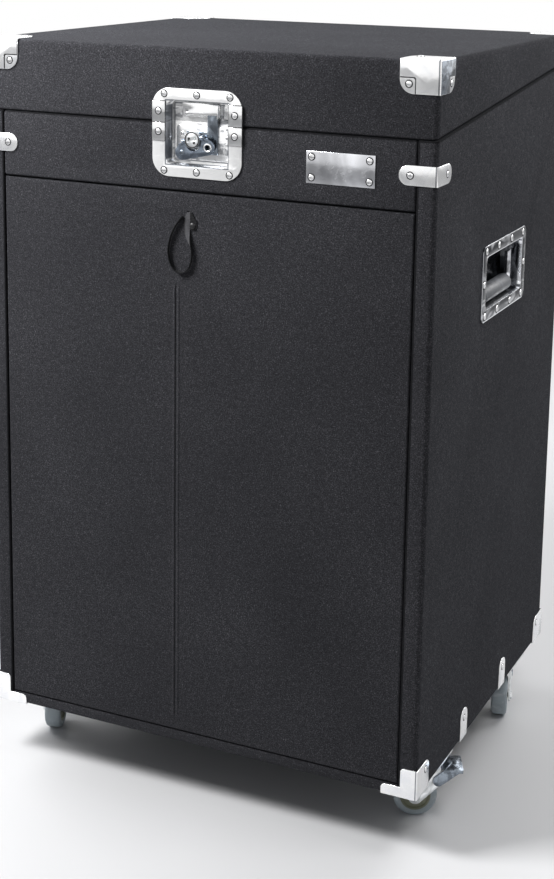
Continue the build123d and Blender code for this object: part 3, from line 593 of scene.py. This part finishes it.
# Rivets, screws and bolt heads are set on their seats by one tree of nodes
def fastener_tree():
    tree = bpy.data.node_groups.new("set_fasteners", "GeometryNodeTree")
    face = tree.interface
    face.new_socket("Seats", in_out="INPUT", socket_type="NodeSocketGeometry")
    face.new_socket("Head", in_out="INPUT", socket_type="NodeSocketObject")
    face.new_socket("Size", in_out="INPUT", socket_type="NodeSocketFloat")
    face.new_socket("Plating", in_out="INPUT", socket_type="NodeSocketMaterial")
    face.new_socket("Set", in_out="OUTPUT", socket_type="NodeSocketGeometry")
    made = {}
    for name, kind in (
        ("start", "NodeGroupInput"),
        ("head", "GeometryNodeObjectInfo"),
        ("look", "GeometryNodeInputNamedAttribute"),
        ("aim", "FunctionNodeAlignRotationToVector"),
        ("spin", "FunctionNodeRandomValue"),
        ("turn", "FunctionNodeAxisAngleToRotation"),
        ("both", "FunctionNodeRotateRotation"),
        ("set", "GeometryNodeInstanceOnPoints"),
        ("real", "GeometryNodeRealizeInstances"),
        ("plate", "GeometryNodeSetMaterial"),
        ("end", "NodeGroupOutput"),
    ):
        made[name] = tree.nodes.new(kind)
    made["look"].data_type = "FLOAT_VECTOR"
    made["look"].inputs["Name"].default_value = "look"
    made["aim"].axis = "Z"
    made["spin"].data_type = "FLOAT"
    for socket, value in (("Min", 0.0), ("Max", 6.283)):
        next(s for s in made["spin"].inputs if s.name == socket and s.enabled).default_value = value
    made["spin"].inputs["Seed"].default_value = 7
    made["both"].rotation_space = "LOCAL"
    made["head"].inputs["As Instance"].default_value = True
    spin_out = next(s for s in made["spin"].outputs if s.enabled)
    look_out = next(s for s in made["look"].outputs if s.enabled and s.name == "Attribute")
    link = tree.links.new
    link(made["start"].outputs["Seats"], made["set"].inputs["Points"])
    link(made["start"].outputs["Head"], made["head"].inputs["Object"])
    link(made["head"].outputs["Geometry"], made["set"].inputs["Instance"])
    link(look_out, made["aim"].inputs["Vector"])
    link(spin_out, made["turn"].inputs["Angle"])
    link(made["aim"].outputs[0], made["both"].inputs["Rotation"])
    link(made["turn"].outputs[0], made["both"].inputs["Rotate By"])
    link(made["both"].outputs[0], made["set"].inputs["Rotation"])
    link(made["start"].outputs["Size"], made["set"].inputs["Scale"])
    link(made["set"].outputs["Instances"], made["real"].inputs["Geometry"])
    link(made["real"].outputs["Geometry"], made["plate"].inputs["Geometry"])
    link(made["start"].outputs["Plating"], made["plate"].inputs["Material"])
    link(made["plate"].outputs["Geometry"], made["end"].inputs[0])
    return tree


set_fasteners = fastener_tree()


def fasteners(name, seats, head, material, size=1.0):
    """One mesh of heads on seats, each seat a place and the way its head looks."""
    mesh = bpy.data.meshes.new(name)
    mesh.from_pydata([tuple(place) for place, _ in seats], [], [])
    look = mesh.attributes.new("look", "FLOAT_VECTOR", "POINT")
    for i, (_, way) in enumerate(seats):
        look.data[i].vector = way
    thing = bpy.data.objects.new(name, mesh)
    rack_case.collection.objects.link(thing)
    maker = thing.modifiers.new("seats", "NODES")
    maker.node_group = set_fasteners
    for item in set_fasteners.interface.items_tree:
        if item.in_out == "INPUT" and item.name != "Seats":
            maker[item.identifier] = {"Head": head, "Size": size, "Plating": material}[item.name]
    settle(thing, 40.0)
    return thing


def tool_piece(name, bm):
    """A head to be set many times, kept out of the scene."""
    return bpy.data.objects.new(name, mesh_from(bm, name))


dome = tool_piece("domed_rivet", lathe([
    (0, 0), (3.1, 0), (3.1, 0.25), (2.9, 0.5), (2.35, 0.78), (1.5, 0.94), (0.7, 1.0), (0, 1.0),
], 24))
dark_seat = tool_piece("rivet_shadow_ring", lathe([
    (2.9, 0.02), (4.15, 0.02), (4.2, 0.1), (2.9, 0.14),
], 24, ring=True))
pan_screw = tool_piece("cross_screw", lathe([
    (0, 0), (3.4, 0), (3.4, 0.8), (3.0, 1.5), (2.2, 1.9), (1.0, 2.0), (0.9, 1.2), (0, 1.1),
], 20))


def head_seats(places, way):
    return [(at(*place), way) for place in places]


# Carpeted body: each panel's edges are eased, so that soft grooves lie between them, dark from their own
# shading and from painted shade in the carpet's colour
for node in ("side_panel_right", "side_panel_left", "front_header", "rear_header"):
    dress(node, carpet, 0.0034, 4, sharp=50)
dress("base_panel", carpet, 0.0015, 2, sharp=50)
dress("front_cover", seamed_carpet, 0.0018, 3, sharp=50)
dress("rear_cover", carpet, 0.0018, 3, sharp=50)


# The lid is one carpeted shell: rounded outside, open below, with a pocket for the latch
def lid_edges(a, b):
    upright = abs(a.z - b.z) > 10
    top = min(a.z, b.z) > CASTER + HEIGHT - 1
    if upright:
        return 1.0
    return 0.85 if top else 0.55


def make_lid():
    gap = 0.3
    profile = ((0, split_h(0) + gap), (DEPTH, split_h(DEPTH) + gap), (DEPTH, HEIGHT), (0, HEIGHT))
    points = [at(-HALF_W, y, z) for y, z in profile]
    bm = prism(points, Vector((2 * HALF_W / 1000, 0, 0)))
    weigh(bm, lid_edges)
    lid = show("lid_carpet_shell", mesh_from(bm, "lid_carpet_shell"), carpet)
    rounded(lid, 0.006, 4)
    settle(lid)
    foot, roof = 690.0, HEIGHT - LID_TOP
    room = ((PANEL, foot), (DEPTH - PANEL, foot), (DEPTH - PANEL, roof), (PANEL, roof))
    hollow = prism([at(-INNER, y, z) for y, z in room], Vector((2 * INNER / 1000, 0, 0)))
    cut(lid, mesh_from(hollow, "hollow"))
    left, right, top = -40.7, 37.7, 734.9
    corners = ((left, foot), (right, foot), (right, top), (left, top))
    pocket = prism([at(x, -8, z) for x, z in corners], Vector((0, 0.024, 0)))
    cut(lid, mesh_from(pocket, "pocket"))
    lid.data.materials.clear()
    lid.data.materials.append(carpet)
    settle(lid, 50)
    stand_for(lid, ["lid_top", "lid_front", "lid_rear", "lid_side_right", "lid_side_left"])


make_lid()


# Pressed sheet trim: the bends are rounded more than the cut edges
def trim_edges(a, b):
    bend_x = min(abs(a.x), abs(b.x)) > HALF_W + TRIM - 0.1
    front = max(a.y, b.y) < -DEPTH / 2 - TRIM + 0.1
    back = min(a.y, b.y) > DEPTH / 2 + TRIM - 0.1
    top = min(a.z, b.z) > CASTER + HEIGHT + 0.9
    under = max(a.z, b.z) < CASTER - TRIM + 0.1
    bends = sum((bend_x, front or back, top or under))
    return 1.0 if bends >= 2 else 0.3


for node in ("lid_corners", "header_braces", "foot_corners", "edge_straps"):
    dress(node, trim_bright, 0.00135, 3, rule=trim_edges)
dress("nameplate", plate_bright, 0.00035, 2)


# Latch
def latch_edges(a, b):
    half_opening = 37.9
    on_face = max(a.y, b.y) < -DEPTH / 2 - TRIM + 0.05
    inside = max(abs(a.x - LATCH_X), abs(b.x - LATCH_X)) < half_opening
    return 1.0 if on_face and inside else 0.35


for node in ("latch_tray", "latch_lid_tray"):
    dress(node, latch_bright, 0.0013, 3, rule=latch_edges)
dress("latch_plate", latch_bright, 0.0003, 2)
dress("latch_keeper", keeper_bright, 0.0003, 2)
dress("latch_hub", zinc, 0.0005, 2)
dress("latch_wing", wing_slate, 0.0007, 3)
dress("latch_claw", dark_plate, 0.0003, 2)


# Rivets
def four(x, y, z, way):
    """A seat and its mirror images at the other corners."""
    seats = []
    for sx in (-1, 1):
        for back in (False, True):
            place = at(sx * x, DEPTH - y if back else y, z)
            seats.append((place, (sx * way[0], -way[1] if back else way[1], way[2])))
    return seats


def pair(x, y, z, way):
    """A seat on the right and its mirror image on the left."""
    return [(at(sx * x, y, z), (sx * way[0], way[1], way[2])) for sx in (-1, 1)]


FRONT = (0, -1, 0)
BACK = (0, 1, 0)
RIGHT = (1, 0, 0)
UP = (0, 0, 1)

# Sizes of the heads, as shares of their drawings in millimetres
RIVET = 0.001
HANDLE_RIVET = 0.00122
SMALL_RIVET = 0.0007

BRACE_Z = 673.8
REAR_BRACE_Z = 702.5
CORNER_Z = 765
CLIP_FACE = -2.9
LATCH_RIVETS = (-39, 0, 39)
CLIP_RIVETS = (-45.25, 45.25)

body_seats = pair(238.7, -TRIM, BRACE_Z, FRONT) + pair(SIDE_X, 27.8, BRACE_Z, RIGHT)
body_seats += pair(238.7, DEPTH + TRIM, REAR_BRACE_Z, BACK) + pair(SIDE_X, DEPTH - 27.8, REAR_BRACE_Z, RIGHT)
body_seats += four(SIDE_X, 25, 24, RIGHT)
for y in (155, 301):
    body_seats += pair(SIDE_X, y, 24.5, RIGHT)
for dx in (-32, 32):
    body_seats += head_seats([(PLATE_X + dx, -1, PLATE_Z + dz) for dz in (-10.75, 10.75)], FRONT)
body_seats += head_seats([(LATCH_X + dx, -TRIM, 657.75) for dx in LATCH_RIVETS], FRONT)
body_seats += head_seats([(LATCH_X + dx, CLIP_FACE, 699) for dx in CLIP_RIVETS], FRONT)
handle_seats = []
for dy in (-68, -24, 24, 68):
    for dz in (-36.5, 36.5):
        handle_seats += pair(SIDE_X, HANDLE_Y + dy, HANDLE_Z + dz, RIGHT)
for dy in (-73.5, 73.5):
    handle_seats += pair(SIDE_X, HANDLE_Y + dy, HANDLE_Z, RIGHT)
stand_for(fasteners("body_rivets", body_seats, dome, rivet_bright, RIVET), ["trim_rivets"])
handle_rivets = fasteners("handle_rivets", handle_seats, dome, rivet_bright, HANDLE_RIVET)
# The black rings round the rivet heads are painted shade
handle_rings = fasteners("handle_rivet_rings", handle_seats, dark_seat, shadow_black, HANDLE_RIVET)
body_rings = fasteners("body_rivet_rings", body_seats, dark_seat, shadow_black, RIVET)

lid_seats = four(234.5, -TRIM, CORNER_Z, FRONT) + four(SIDE_X, 30, CORNER_Z, RIGHT) + four(234.5, 30, 790, UP)
lid_seats += head_seats([(LATCH_X + dx, -TRIM, 739.6) for dx in LATCH_RIVETS], FRONT)
lid_seats += head_seats([(LATCH_X + dx, CLIP_FACE, 721) for dx in CLIP_RIVETS], FRONT)
stand_for(fasteners("lid_rivet_heads", lid_seats, dome, rivet_bright, RIVET), ["lid_rivets"])
# The black rings round the lid's rivet heads are painted shade
lid_rings = fasteners("lid_rivet_rings", lid_seats, dark_seat, shadow_black, RIVET)


def extra(thing, body):
    """A small piece with no CAD node of its own."""
    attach(thing, body)
    return thing


extra(body_rings, "case")
extra(handle_rivets, "case")
extra(handle_rings, "case")
extra(lid_rings, "lid")


def raised(points, place, shift, name, material, body, ease=0.0004):
    """A thin pressed field with eased edges, drawn on millimetre points that place turns into places."""
    bm = prism([place(*p) for p in points], Vector(shift) / 1000)
    thing = show(name, mesh_from(bm, name), material)
    rounded(thing, ease, 2, False)
    settle(thing, 30)
    return extra(thing, body)


def rectangle(x0, z0, x1, z1):
    return [(x0, z0), (x1, z0), (x1, z1), (x0, z1)]


# Pressed fields of the lid corners
CORNER_WIDE, CORNER_TALL = 42, 34


def corner_field(step):
    """The raised field on a corner's face, outside a low square of about step by step for the rivet."""
    u0, v0 = HALF_W - CORNER_WIDE, HEIGHT - CORNER_TALL
    step_u, step_v = u0 + step, v0 + step - 0.6
    bend = 2.5
    return [
        (step_u, v0 + 0.4), (HALF_W + 0.6, v0 + 0.4), (HALF_W + 0.6, HEIGHT - 0.2),
        (u0 + 0.4, HEIGHT - 0.2), (u0 + 0.4, step_v),
    ] + arc(step_u - bend, step_v - bend, bend, 90, 0, 4)


def side_field():
    """The raised field on a corner's cheek, outside a low step at its foot."""
    v0 = HEIGHT - CORNER_TALL
    return [
        (-TRIM + 1.0, v0 + 0.4), (23.5, v0 + 0.4), (23.5, v0 + 16.5), (39.6, v0 + 16.5),
        (39.6, HEIGHT - 0.2), (-TRIM + 1.0, HEIGHT - 0.2),
    ]


# A black sheet under each field, reaching a little further than the field, is a painted shade line round it
for sx in (-1, 1):
    for back in (False, True):
        tag = ("right" if sx > 0 else "left") + ("_rear" if back else "_front")
        out = 1 if back else -1
        y = DEPTH + TRIM if back else -TRIM

        def on_end(u, v):
            return at(sx * u, y, v)

        def on_cheek(u, v):
            return at(sx * SIDE_X, DEPTH - u if back else u, v)

        raised(corner_field(16.4), on_end, (0, out * 0.12, 0),
               "corner_crease_" + tag, shadow_black, "lid", 0.00004)
        raised(corner_field(17.6), on_end, (0, out * 0.7, 0),
               "corner_face_" + tag, trim_bright, "lid")
        raised(side_field(), on_cheek, (sx * 0.7, 0, 0),
               "corner_cheek_" + tag, cheek_painted_shade, "lid")

# Joggled clips at the sides of the latch, each on a black sheet that is a painted shade line
CLIP_BACK = -2.15
for sx in (-1, 1):
    near_x, far_x = (36.5, 53.0) if sx > 0 else (39.0, 55.0)
    for low, high, body, name in (
        (SPLIT_FRONT + 0.5, SPLIT_FRONT + 22.5, "lid", "upper"),
        (SPLIT_FRONT - 19.5, SPLIT_FRONT - 0.4, "case", "lower"),
    ):
        def on_face(u, v):
            return at(sx * u, CLIP_BACK, v)

        tag = name + ("_right" if sx > 0 else "_left")
        edge = rectangle(near_x - 0.6, low - 0.4, far_x - 0.6, high + 0.7)
        clip = rectangle(near_x, low, far_x - 0.9, high)
        raised(edge, on_face, (0, -0.15, 0), "clip_line_" + tag, shadow_black, body, 0.00005)
        raised(clip, on_face, (0, -0.75, 0), "clip_" + tag, keeper_bright, body)

# Small works inside the latch dish
dish_seats = head_seats([(-24.5, 11, 697), (28.5, 11, 704.5), (28.5, 11, 695)], FRONT)
extra(fasteners("latch_plate_rivets", dish_seats, dome, rivet_bright, SMALL_RIVET), "case")
lid_dish = head_seats([(-24, 12.2, 720), (27, 12.2, 726)], FRONT)
extra(fasteners("latch_keeper_rivets", lid_dish, dome, rivet_bright, SMALL_RIVET), "lid")


def placed_lathe(name, profile, place, way, material, steps=40, ring=False, sharp=40.0):
    """A turned piece stood at a place, its axis along way, with its profile in millimetres."""
    bm = lathe(profile, steps, ring)
    turn = Vector((0, 0, 1)).rotation_difference(Vector(way)).to_matrix().to_4x4()
    bmesh.ops.transform(bm, matrix=Matrix.Translation(place) @ turn @ Matrix.Scale(0.001, 4), verts=bm.verts)
    return show(name, mesh_from(bm, name), material, sharp)


WING_LEAN = radians(12.9)
WING_FACE = 3.0
HUB_FACE = 1.0
DISH_BACK = 12.25


def on_wing(dx, dz):
    """A place on the front of the latch wing, from the hub's middle along the wing."""
    x = HUB_X + dx * cos(WING_LEAN) - dz * sin(WING_LEAN)
    z = HUB_Z + dx * sin(WING_LEAN) + dz * cos(WING_LEAN)
    return at(x, WING_FACE, z)


def on_dish(u, v):
    return at(u, DISH_BACK, v)


eye_profile = [(3.2, 0.0), (3.2, 0.5), (3.8, 0.8), (4.6, 0.6), (5.0, 0.0), (4.0, -0.2)]
eye_ring = placed_lathe("wing_eye_ring", eye_profile, on_wing(15.6, -11.2), FRONT, rivet_bright, 32, True)
extra(eye_ring, "latch_wing")
wing_rivet = fasteners("wing_rivet", [(on_wing(-15.6, -11.2), FRONT)], dome, dark_plate, 0.0009)
extra(wing_rivet, "latch_wing")
# Two black domes stand for the hub's holes, as painted shade
hub_eyes = [(at(HUB_X + dx, HUB_FACE, HUB_Z + dz), FRONT) for dx, dz in ((-3.4, 1.2), (2.6, -3.0))]
extra(fasteners("hub_eyes", hub_eyes, dome, shadow_black, 0.00048), "latch_hub")
# The frame in the lid's dish sits on a black line of painted shade
for name, corners, proud, material, ease in (
    ("dish_frame_line", (23.4, 713.8, 34.2, 732.2), 0.2, shadow_black, 0.00004),
    ("dish_frame", (24.2, 714.6, 33.4, 731.4), 0.7, keeper_bright, 0.0002),
):
    raised(rectangle(*corners), on_dish, (0, -proud, 0), name, material, "lid", ease)
# The black ring round the hub is painted shade
collar_profile = [(7.6, 0.0), (7.6, 0.5), (8.0, 0.7), (8.6, 0.5), (8.8, 0.0), (8.2, -0.2)]
collar = placed_lathe("hub_collar", collar_profile, at(HUB_X, HUB_FACE, HUB_Z), FRONT, shadow_black, 36, True)
extra(collar, "latch_hub")

# Handles
GRIP_DEEP, GRIP_DROP = 13, 20
for side, sx in (("right", 1), ("left", -1)):
    dress("handle_dish_" + side, handle_bright, 0.0005, 2)
    dress("handle_bail_" + side, bail_bright, 0.0002, 1)
    grip = [(4.0, -47), (8.2, -47), (9.0, -46.4), (9.5, -45), (9.5, 45), (9.0, 46.4), (8.2, 47), (4.0, 47)]
    place = at(sx * (HALF_W - GRIP_DEEP), HANDLE_Y, HANDLE_Z - GRIP_DROP)
    stand_for(placed_lathe("grip_" + side, grip, place, BACK, grip_rubber, 40, True), ["handle_grip_" + side])

# Hinges
HINGE_X = 150
LEAF_FACE = DEPTH + 1.8


def hinge_seats(dz):
    """Three screws on one leaf of each hinge, dz up from the lid joint at the back."""
    z = split_h(DEPTH) + dz
    return [(at(sx * HINGE_X + dx, LEAF_FACE, z), BACK) for sx in (-1, 1) for dx in (-28, 0, 28)]


for node in ("hinge_body_leaves", "hinge_lid_leaves", "hinge_pins"):
    dress(node, zinc, 0.0003, 2)
extra(fasteners("hinge_body_screws", hinge_seats(-22), pan_screw, zinc, 0.001), "case")
extra(fasteners("hinge_lid_screws", hinge_seats(17), pan_screw, zinc, 0.001), "lid")

# Pull loops of webbing, on edge round the loop and turned flat where a black screw holds them

# Each row is a place across and up from the screw, sketched, and how flat the band lies there
LOOP_SKETCH = (
    (-9.0, 7.0, 0.3), (-13.0, 3.0, 0.1), (-17.2, -2.5, 0.0), (-21.4, -11.0, 0.0),
    (-23.9, -20.0, 0.0), (-24.3, -28.0, 0.0), (-22.4, -35.8, 0.0), (-18.4, -41.8, 0.0),
    (-13.4, -44.4, 0.0), (-7.6, -43.4, 0.0), (-3.0, -39.4, 0.0), (-0.6, -33.6, 0.0),
    (0.0, -27.0, 0.08), (-1.4, -20.5, 0.3), (-4.0, -13.0, 0.7), (-5.6, -6.0, 0.95),
    (-6.2, 1.0, 1.0), (-6.4, 4.7, 1.0),
)
LOOP_WIDER, LOOP_TALLER, LOOP_LIFT = 1.157, 1.2, 1.0
STRAP_W, STRAP_T = 4.4, 0.9
STRAP_SECTION = (
    (-1, -0.6), (-0.9, -1), (0.9, -1), (1, -0.6), (1, 0.6), (0.9, 1), (-0.9, 1), (-1, 0.6),
)


def curve_through(rows, steps):
    """More rows between the given ones, on a smooth curve through them all."""
    line = []
    for i in range(len(rows) - 1):
        a, b, c, d = (rows[min(max(k, 0), len(rows) - 1)] for k in (i - 1, i, i + 1, i + 2))
        for s in range(steps):
            t = s / steps
            line.append(tuple(
                0.5 * (
                    2 * q + (r - p) * t + (2 * p - 5 * q + 4 * r - v) * t * t
                    + (3 * q - p - 3 * r + v) * t ** 3
                )
                for p, q, r, v in zip(a, b, c, d)
            ))
    return line + [rows[-1]]


def strap_loop(name, base_y, sy):
    """The webbing band, swept along its line as a thin section with cut corners, and its tab."""
    rows = [
        (round(x * LOOP_WIDER, 1), round(z * LOOP_TALLER + LOOP_LIFT, 1), flat)
        for x, z, flat in LOOP_SKETCH
    ]
    line = curve_through(rows, 4)
    bm = bmesh.new()
    rings = []
    for i, (dx, dz, flat) in enumerate(line):
        ahead, behind = line[min(i + 1, len(line) - 1)], line[max(i - 1, 0)]
        along = Vector((ahead[0] - behind[0], 0, ahead[1] - behind[1])).normalized()
        turn = flat * pi / 2
        side = Vector((along.z, 0, -along.x))
        wide = (Vector((0, sy, 0)) * cos(turn) + side * sin(turn)).normalized()
        thin = along.cross(wide).normalized()
        out = STRAP_T * flat + (STRAP_W / 2 + 0.5) * (1 - flat)
        half = STRAP_W / 2 + 1.4 * flat
        middle = Vector((LOOP_X + dx, base_y + sy * out, LOOP_Z + dz))
        section = [middle + wide * (a * half) + thin * (b * STRAP_T / 2) for a, b in STRAP_SECTION]
        rings.append([bm.verts.new(at(*place)) for place in section])
    count = len(STRAP_SECTION)
    for near, far in zip(rings, rings[1:]):
        for k in range(count):
            bm.faces.new((near[k], near[(k + 1) % count], far[(k + 1) % count], far[k]))
    bm.faces.new(rings[0])
    bm.faces.new(reversed(rings[-1]))
    bmesh.ops.recalc_face_normals(bm, faces=bm.faces)
    outline = [(-9.6, -4.5), (3.0, -4.5)] + arc(0, 3.5, 5.0, -20, 60, 4)
    outline += [(-0.8, 14.2), (-6.4, 14.2), (-9.6, 8.5)]
    tab = prism([at(LOOP_X + u, base_y, LOOP_Z + v) for u, v in outline], Vector((0, sy * 0.0012, 0)))
    tab_mesh = mesh_from(tab, "tab")
    bm.from_mesh(tab_mesh)
    bpy.data.meshes.remove(tab_mesh)
    return show(name, mesh_from(bm, name), webbing, 40)


loop_screw = [
    (0, 0), (5.2, 0), (5.2, 0.5), (4.8, 1.0), (3.6, 1.1), (3.4, 1.8), (2.6, 2.6), (1.2, 2.9), (0, 2.9),
]
for node, cover, sy in (("front_pull_loop", "front_cover", -1), ("rear_pull_loop", "rear_cover", 1)):
    y = 0 if sy < 0 else DEPTH
    stand_for(strap_loop(node + "_band", y, sy), [node])
    screw = placed_lathe(node + "_screw", loop_screw, at(LOOP_X, y, LOOP_Z), (0, sy, 0), screw_black, 28)
    extra(screw, cover)

# Rack rails, what they hold and the covers' stops keep the CAD shapes
for node, material in (
    ("rack_rail_front_right", rail_black),
    ("rack_rail_front_left", rail_black),
    ("rack_rail_rear_right", rail_black),
    ("rack_rail_rear_left", rail_black),
    ("top_rail_right", rail_black),
    ("top_rail_left", rail_black),
    ("cage_nuts", zinc),
    ("rail_screws", zinc),
    ("cover_stops", plywood),
):
    mesh = nodes[node].data
    mesh.materials.clear()
    mesh.materials.append(material)

# Casters: each one's place and the way it is turned, in degrees
CASTER_X = 244
CASTER_IN = 96
CASTERS = {
    "front_right": (CASTER_X, CASTER_IN, 24.6),
    "front_left": (-CASTER_X, CASTER_IN, 110.0),
    "rear_right": (CASTER_X, DEPTH - CASTER_IN, 105.0),
    "rear_left": (-CASTER_X, DEPTH - CASTER_IN, 155.4),
}
WHEEL_R = 25.0
TRAIL = 12.0
PEDAL_NEAR = 18.6
SKIRT_FAR = 40.3
TREAD_FAR = 40.6
tyre_profile = [
    (17.5, -9.3), (20.5, -9.9), (22.4, -9.5), (23.8, -8.4), (24.6, -6.8), (24.95, -4.4), (25.0, 0.0),
    (24.95, 4.4), (24.6, 6.8), (23.8, 8.4), (22.4, 9.5), (20.5, 9.9), (17.5, 9.3), (17.2, 4.0), (17.2, -4.0),
]
core_profile = [
    (3.05, -9.9), (6.4, -9.9), (7.2, -9.2), (7.8, -7.4), (14.6, -7.4), (15.6, -9.0), (17.3, -9.2),
    (17.3, 9.2), (15.6, 9.0), (14.6, 7.4), (7.8, 7.4), (7.2, 9.2), (6.4, 9.9), (3.05, 9.9),
]
for name, (x, y, turn) in CASTERS.items():
    spin = Matrix.Rotation(radians(turn), 4, "Z")
    axle_way = spin @ Vector((0, 1, 0))

    def spot(lx, ly, lz):
        return at(x, y, 0) + (spin @ Vector((lx, ly, lz))) / 1000

    hub = spot(-TRAIL, 0, WHEEL_R - CASTER)
    tyre = placed_lathe("tyre_" + name, tyre_profile, hub, axle_way, tyre_rubber, 72, True)
    stand_for(tyre, ["caster_wheel_" + name])
    core = placed_lathe("wheel_core_" + name, core_profile, hub, axle_way, core_plastic, 56, True)
    extra(core, "wheel_" + name)
    dress("caster_fork_" + name, zinc, 0.0006, 2)
    dress("caster_pedal_" + name, dark_plate, 0.0005, 2)
    skirt = [(PEDAL_NEAR, -13.0), (PEDAL_NEAR, -8.9), (SKIRT_FAR, -8.9), (SKIRT_FAR, -13.0)]
    for way in (-1, 1):
        tag = name + ("_near" if way < 0 else "_far")
        raised(skirt, lambda u, v: spot(u, way * 16.15, v), spin @ Vector((0, way * 0.7, 0)),
               "pedal_skirt_" + tag, dark_plate, "pedal_" + name, 0.0002)
    tread = rectangle(PEDAL_NEAR, -16.5, TREAD_FAR, 16.5)
    raised(tread, lambda u, v: spot(u, v, -9.35), (0, 0, 0.6), "pedal_tread_" + name, dark_plate,
           "pedal_" + name, 0.0002)
    stamps = []
    for way in (-1, 1):
        out = spin @ Vector((0, way, 0))
        stamps += [(spot(lx, way * 13.2, lz), tuple(out)) for lx, lz in ((-7.5, -22.5), (4.0, -24.0))]
    extra(fasteners("fork_stamps_" + name, stamps, dome, zinc, 0.0011), "fork_" + name)
dress("caster_plates", zinc, 0.0005, 2)
dress("caster_bolts", zinc, 0.0006, 2)


# Floor, light and camera
def floor_finish():
    f = Finish("pale_studio_floor")
    dust = f.noise(3.0, 2)
    return f.surface(
        Base_Color=f.ramp(dust, [(0.3, (0.74, 0.74, 0.75)), (0.7, (0.77, 0.77, 0.78))]),
        Roughness=0.42,
        Specular_IOR_Level=0.3,
    )


bm = bmesh.new()
bmesh.ops.create_grid(bm, x_segments=2, y_segments=2, size=9.0)
floor = show("studio_floor", mesh_from(bm, "studio_floor"), floor_finish())

world = bpy.data.worlds.new("studio_air")
rack_case.world = world
world.use_nodes = True
air = world.node_tree
air.nodes.clear()
path = air.nodes.new("ShaderNodeLightPath")
seen = air.nodes.new("ShaderNodeMath")
seen.operation = "MAXIMUM"
seen_all = air.nodes.new("ShaderNodeMath")
seen_all.operation = "MAXIMUM"
soft = air.nodes.new("ShaderNodeBackground")
soft.inputs["Color"].default_value = (0.95, 0.97, 1.0, 1)
soft.inputs["Strength"].default_value = 0.19
white = air.nodes.new("ShaderNodeBackground")
white.inputs["Color"].default_value = (1, 1, 1, 1)
mix = air.nodes.new("ShaderNodeMixShader")
end = air.nodes.new("ShaderNodeOutputWorld")
air.links.new(path.outputs["Is Camera Ray"], seen.inputs[0])
air.links.new(path.outputs["Is Glossy Ray"], seen.inputs[1])
air.links.new(seen.outputs[0], seen_all.inputs[0])
air.links.new(path.outputs["Is Transmission Ray"], seen_all.inputs[1])
air.links.new(seen_all.outputs[0], mix.inputs[0])
air.links.new(soft.outputs[0], mix.inputs[1])
air.links.new(white.outputs[0], mix.inputs[2])
air.links.new(mix.outputs[0], end.inputs["Surface"])


def soft_box(name, place, target, size, power):
    """A square studio lamp that looks at a target."""
    lamp = bpy.data.lights.new(name, "AREA")
    lamp.shape = "SQUARE"
    lamp.size = size
    lamp.energy = power
    thing = bpy.data.objects.new(name, lamp)
    rack_case.collection.objects.link(thing)
    thing.location = place
    thing.rotation_euler = (Vector(target) - Vector(place)).to_track_quat("-Z", "Y").to_euler()
    return thing


soft_box("key_left", (-0.62, -0.76, 1.36), (-0.2, -0.24, 0.8), 0.45, 24)
soft_box("fill_right", (0.8, -0.12, 1.3), (0.27, -0.02, 0.86), 0.35, 3.6)
soft_box("top_soft", (0.2, 0.2, 2.6), (0.0, 0.0, 0.8), 1.6, 2.5)
soft_box("rear_soft", (0.7, 2.0, 1.7), (0.0, 0.24, 0.5), 1.4, 34)
soft_box("left_soft", (-2.1, 0.5, 1.5), (-0.27, 0.0, 0.5), 1.2, 22)

lens = bpy.data.cameras.new("photo_view")
lens.sensor_width = 36
lens.lens = 67.358
lens.shift_y = -0.22
lens.clip_start = 0.05
camera = bpy.data.objects.new("photo_view", lens)
rack_case.collection.objects.link(camera)
rack_case.camera = camera
stand = Vector((0.7991, -1.7641, 0.9946))
yaw, pitch, roll = radians(24.804), radians(11.325), radians(0.875)
forward = Vector((-sin(yaw) * cos(pitch), cos(yaw) * cos(pitch), -sin(pitch)))
level = Vector((cos(yaw), sin(yaw), 0))
rise = level.cross(forward)
across = level * cos(roll) + rise * sin(roll)
upward = rise * cos(roll) - level * sin(roll)
facing = Matrix((across, upward, -forward)).transposed().to_4x4()
camera.matrix_world = Matrix.Translation(stand) @ facing

rack_case.view_settings.view_transform = "Standard"
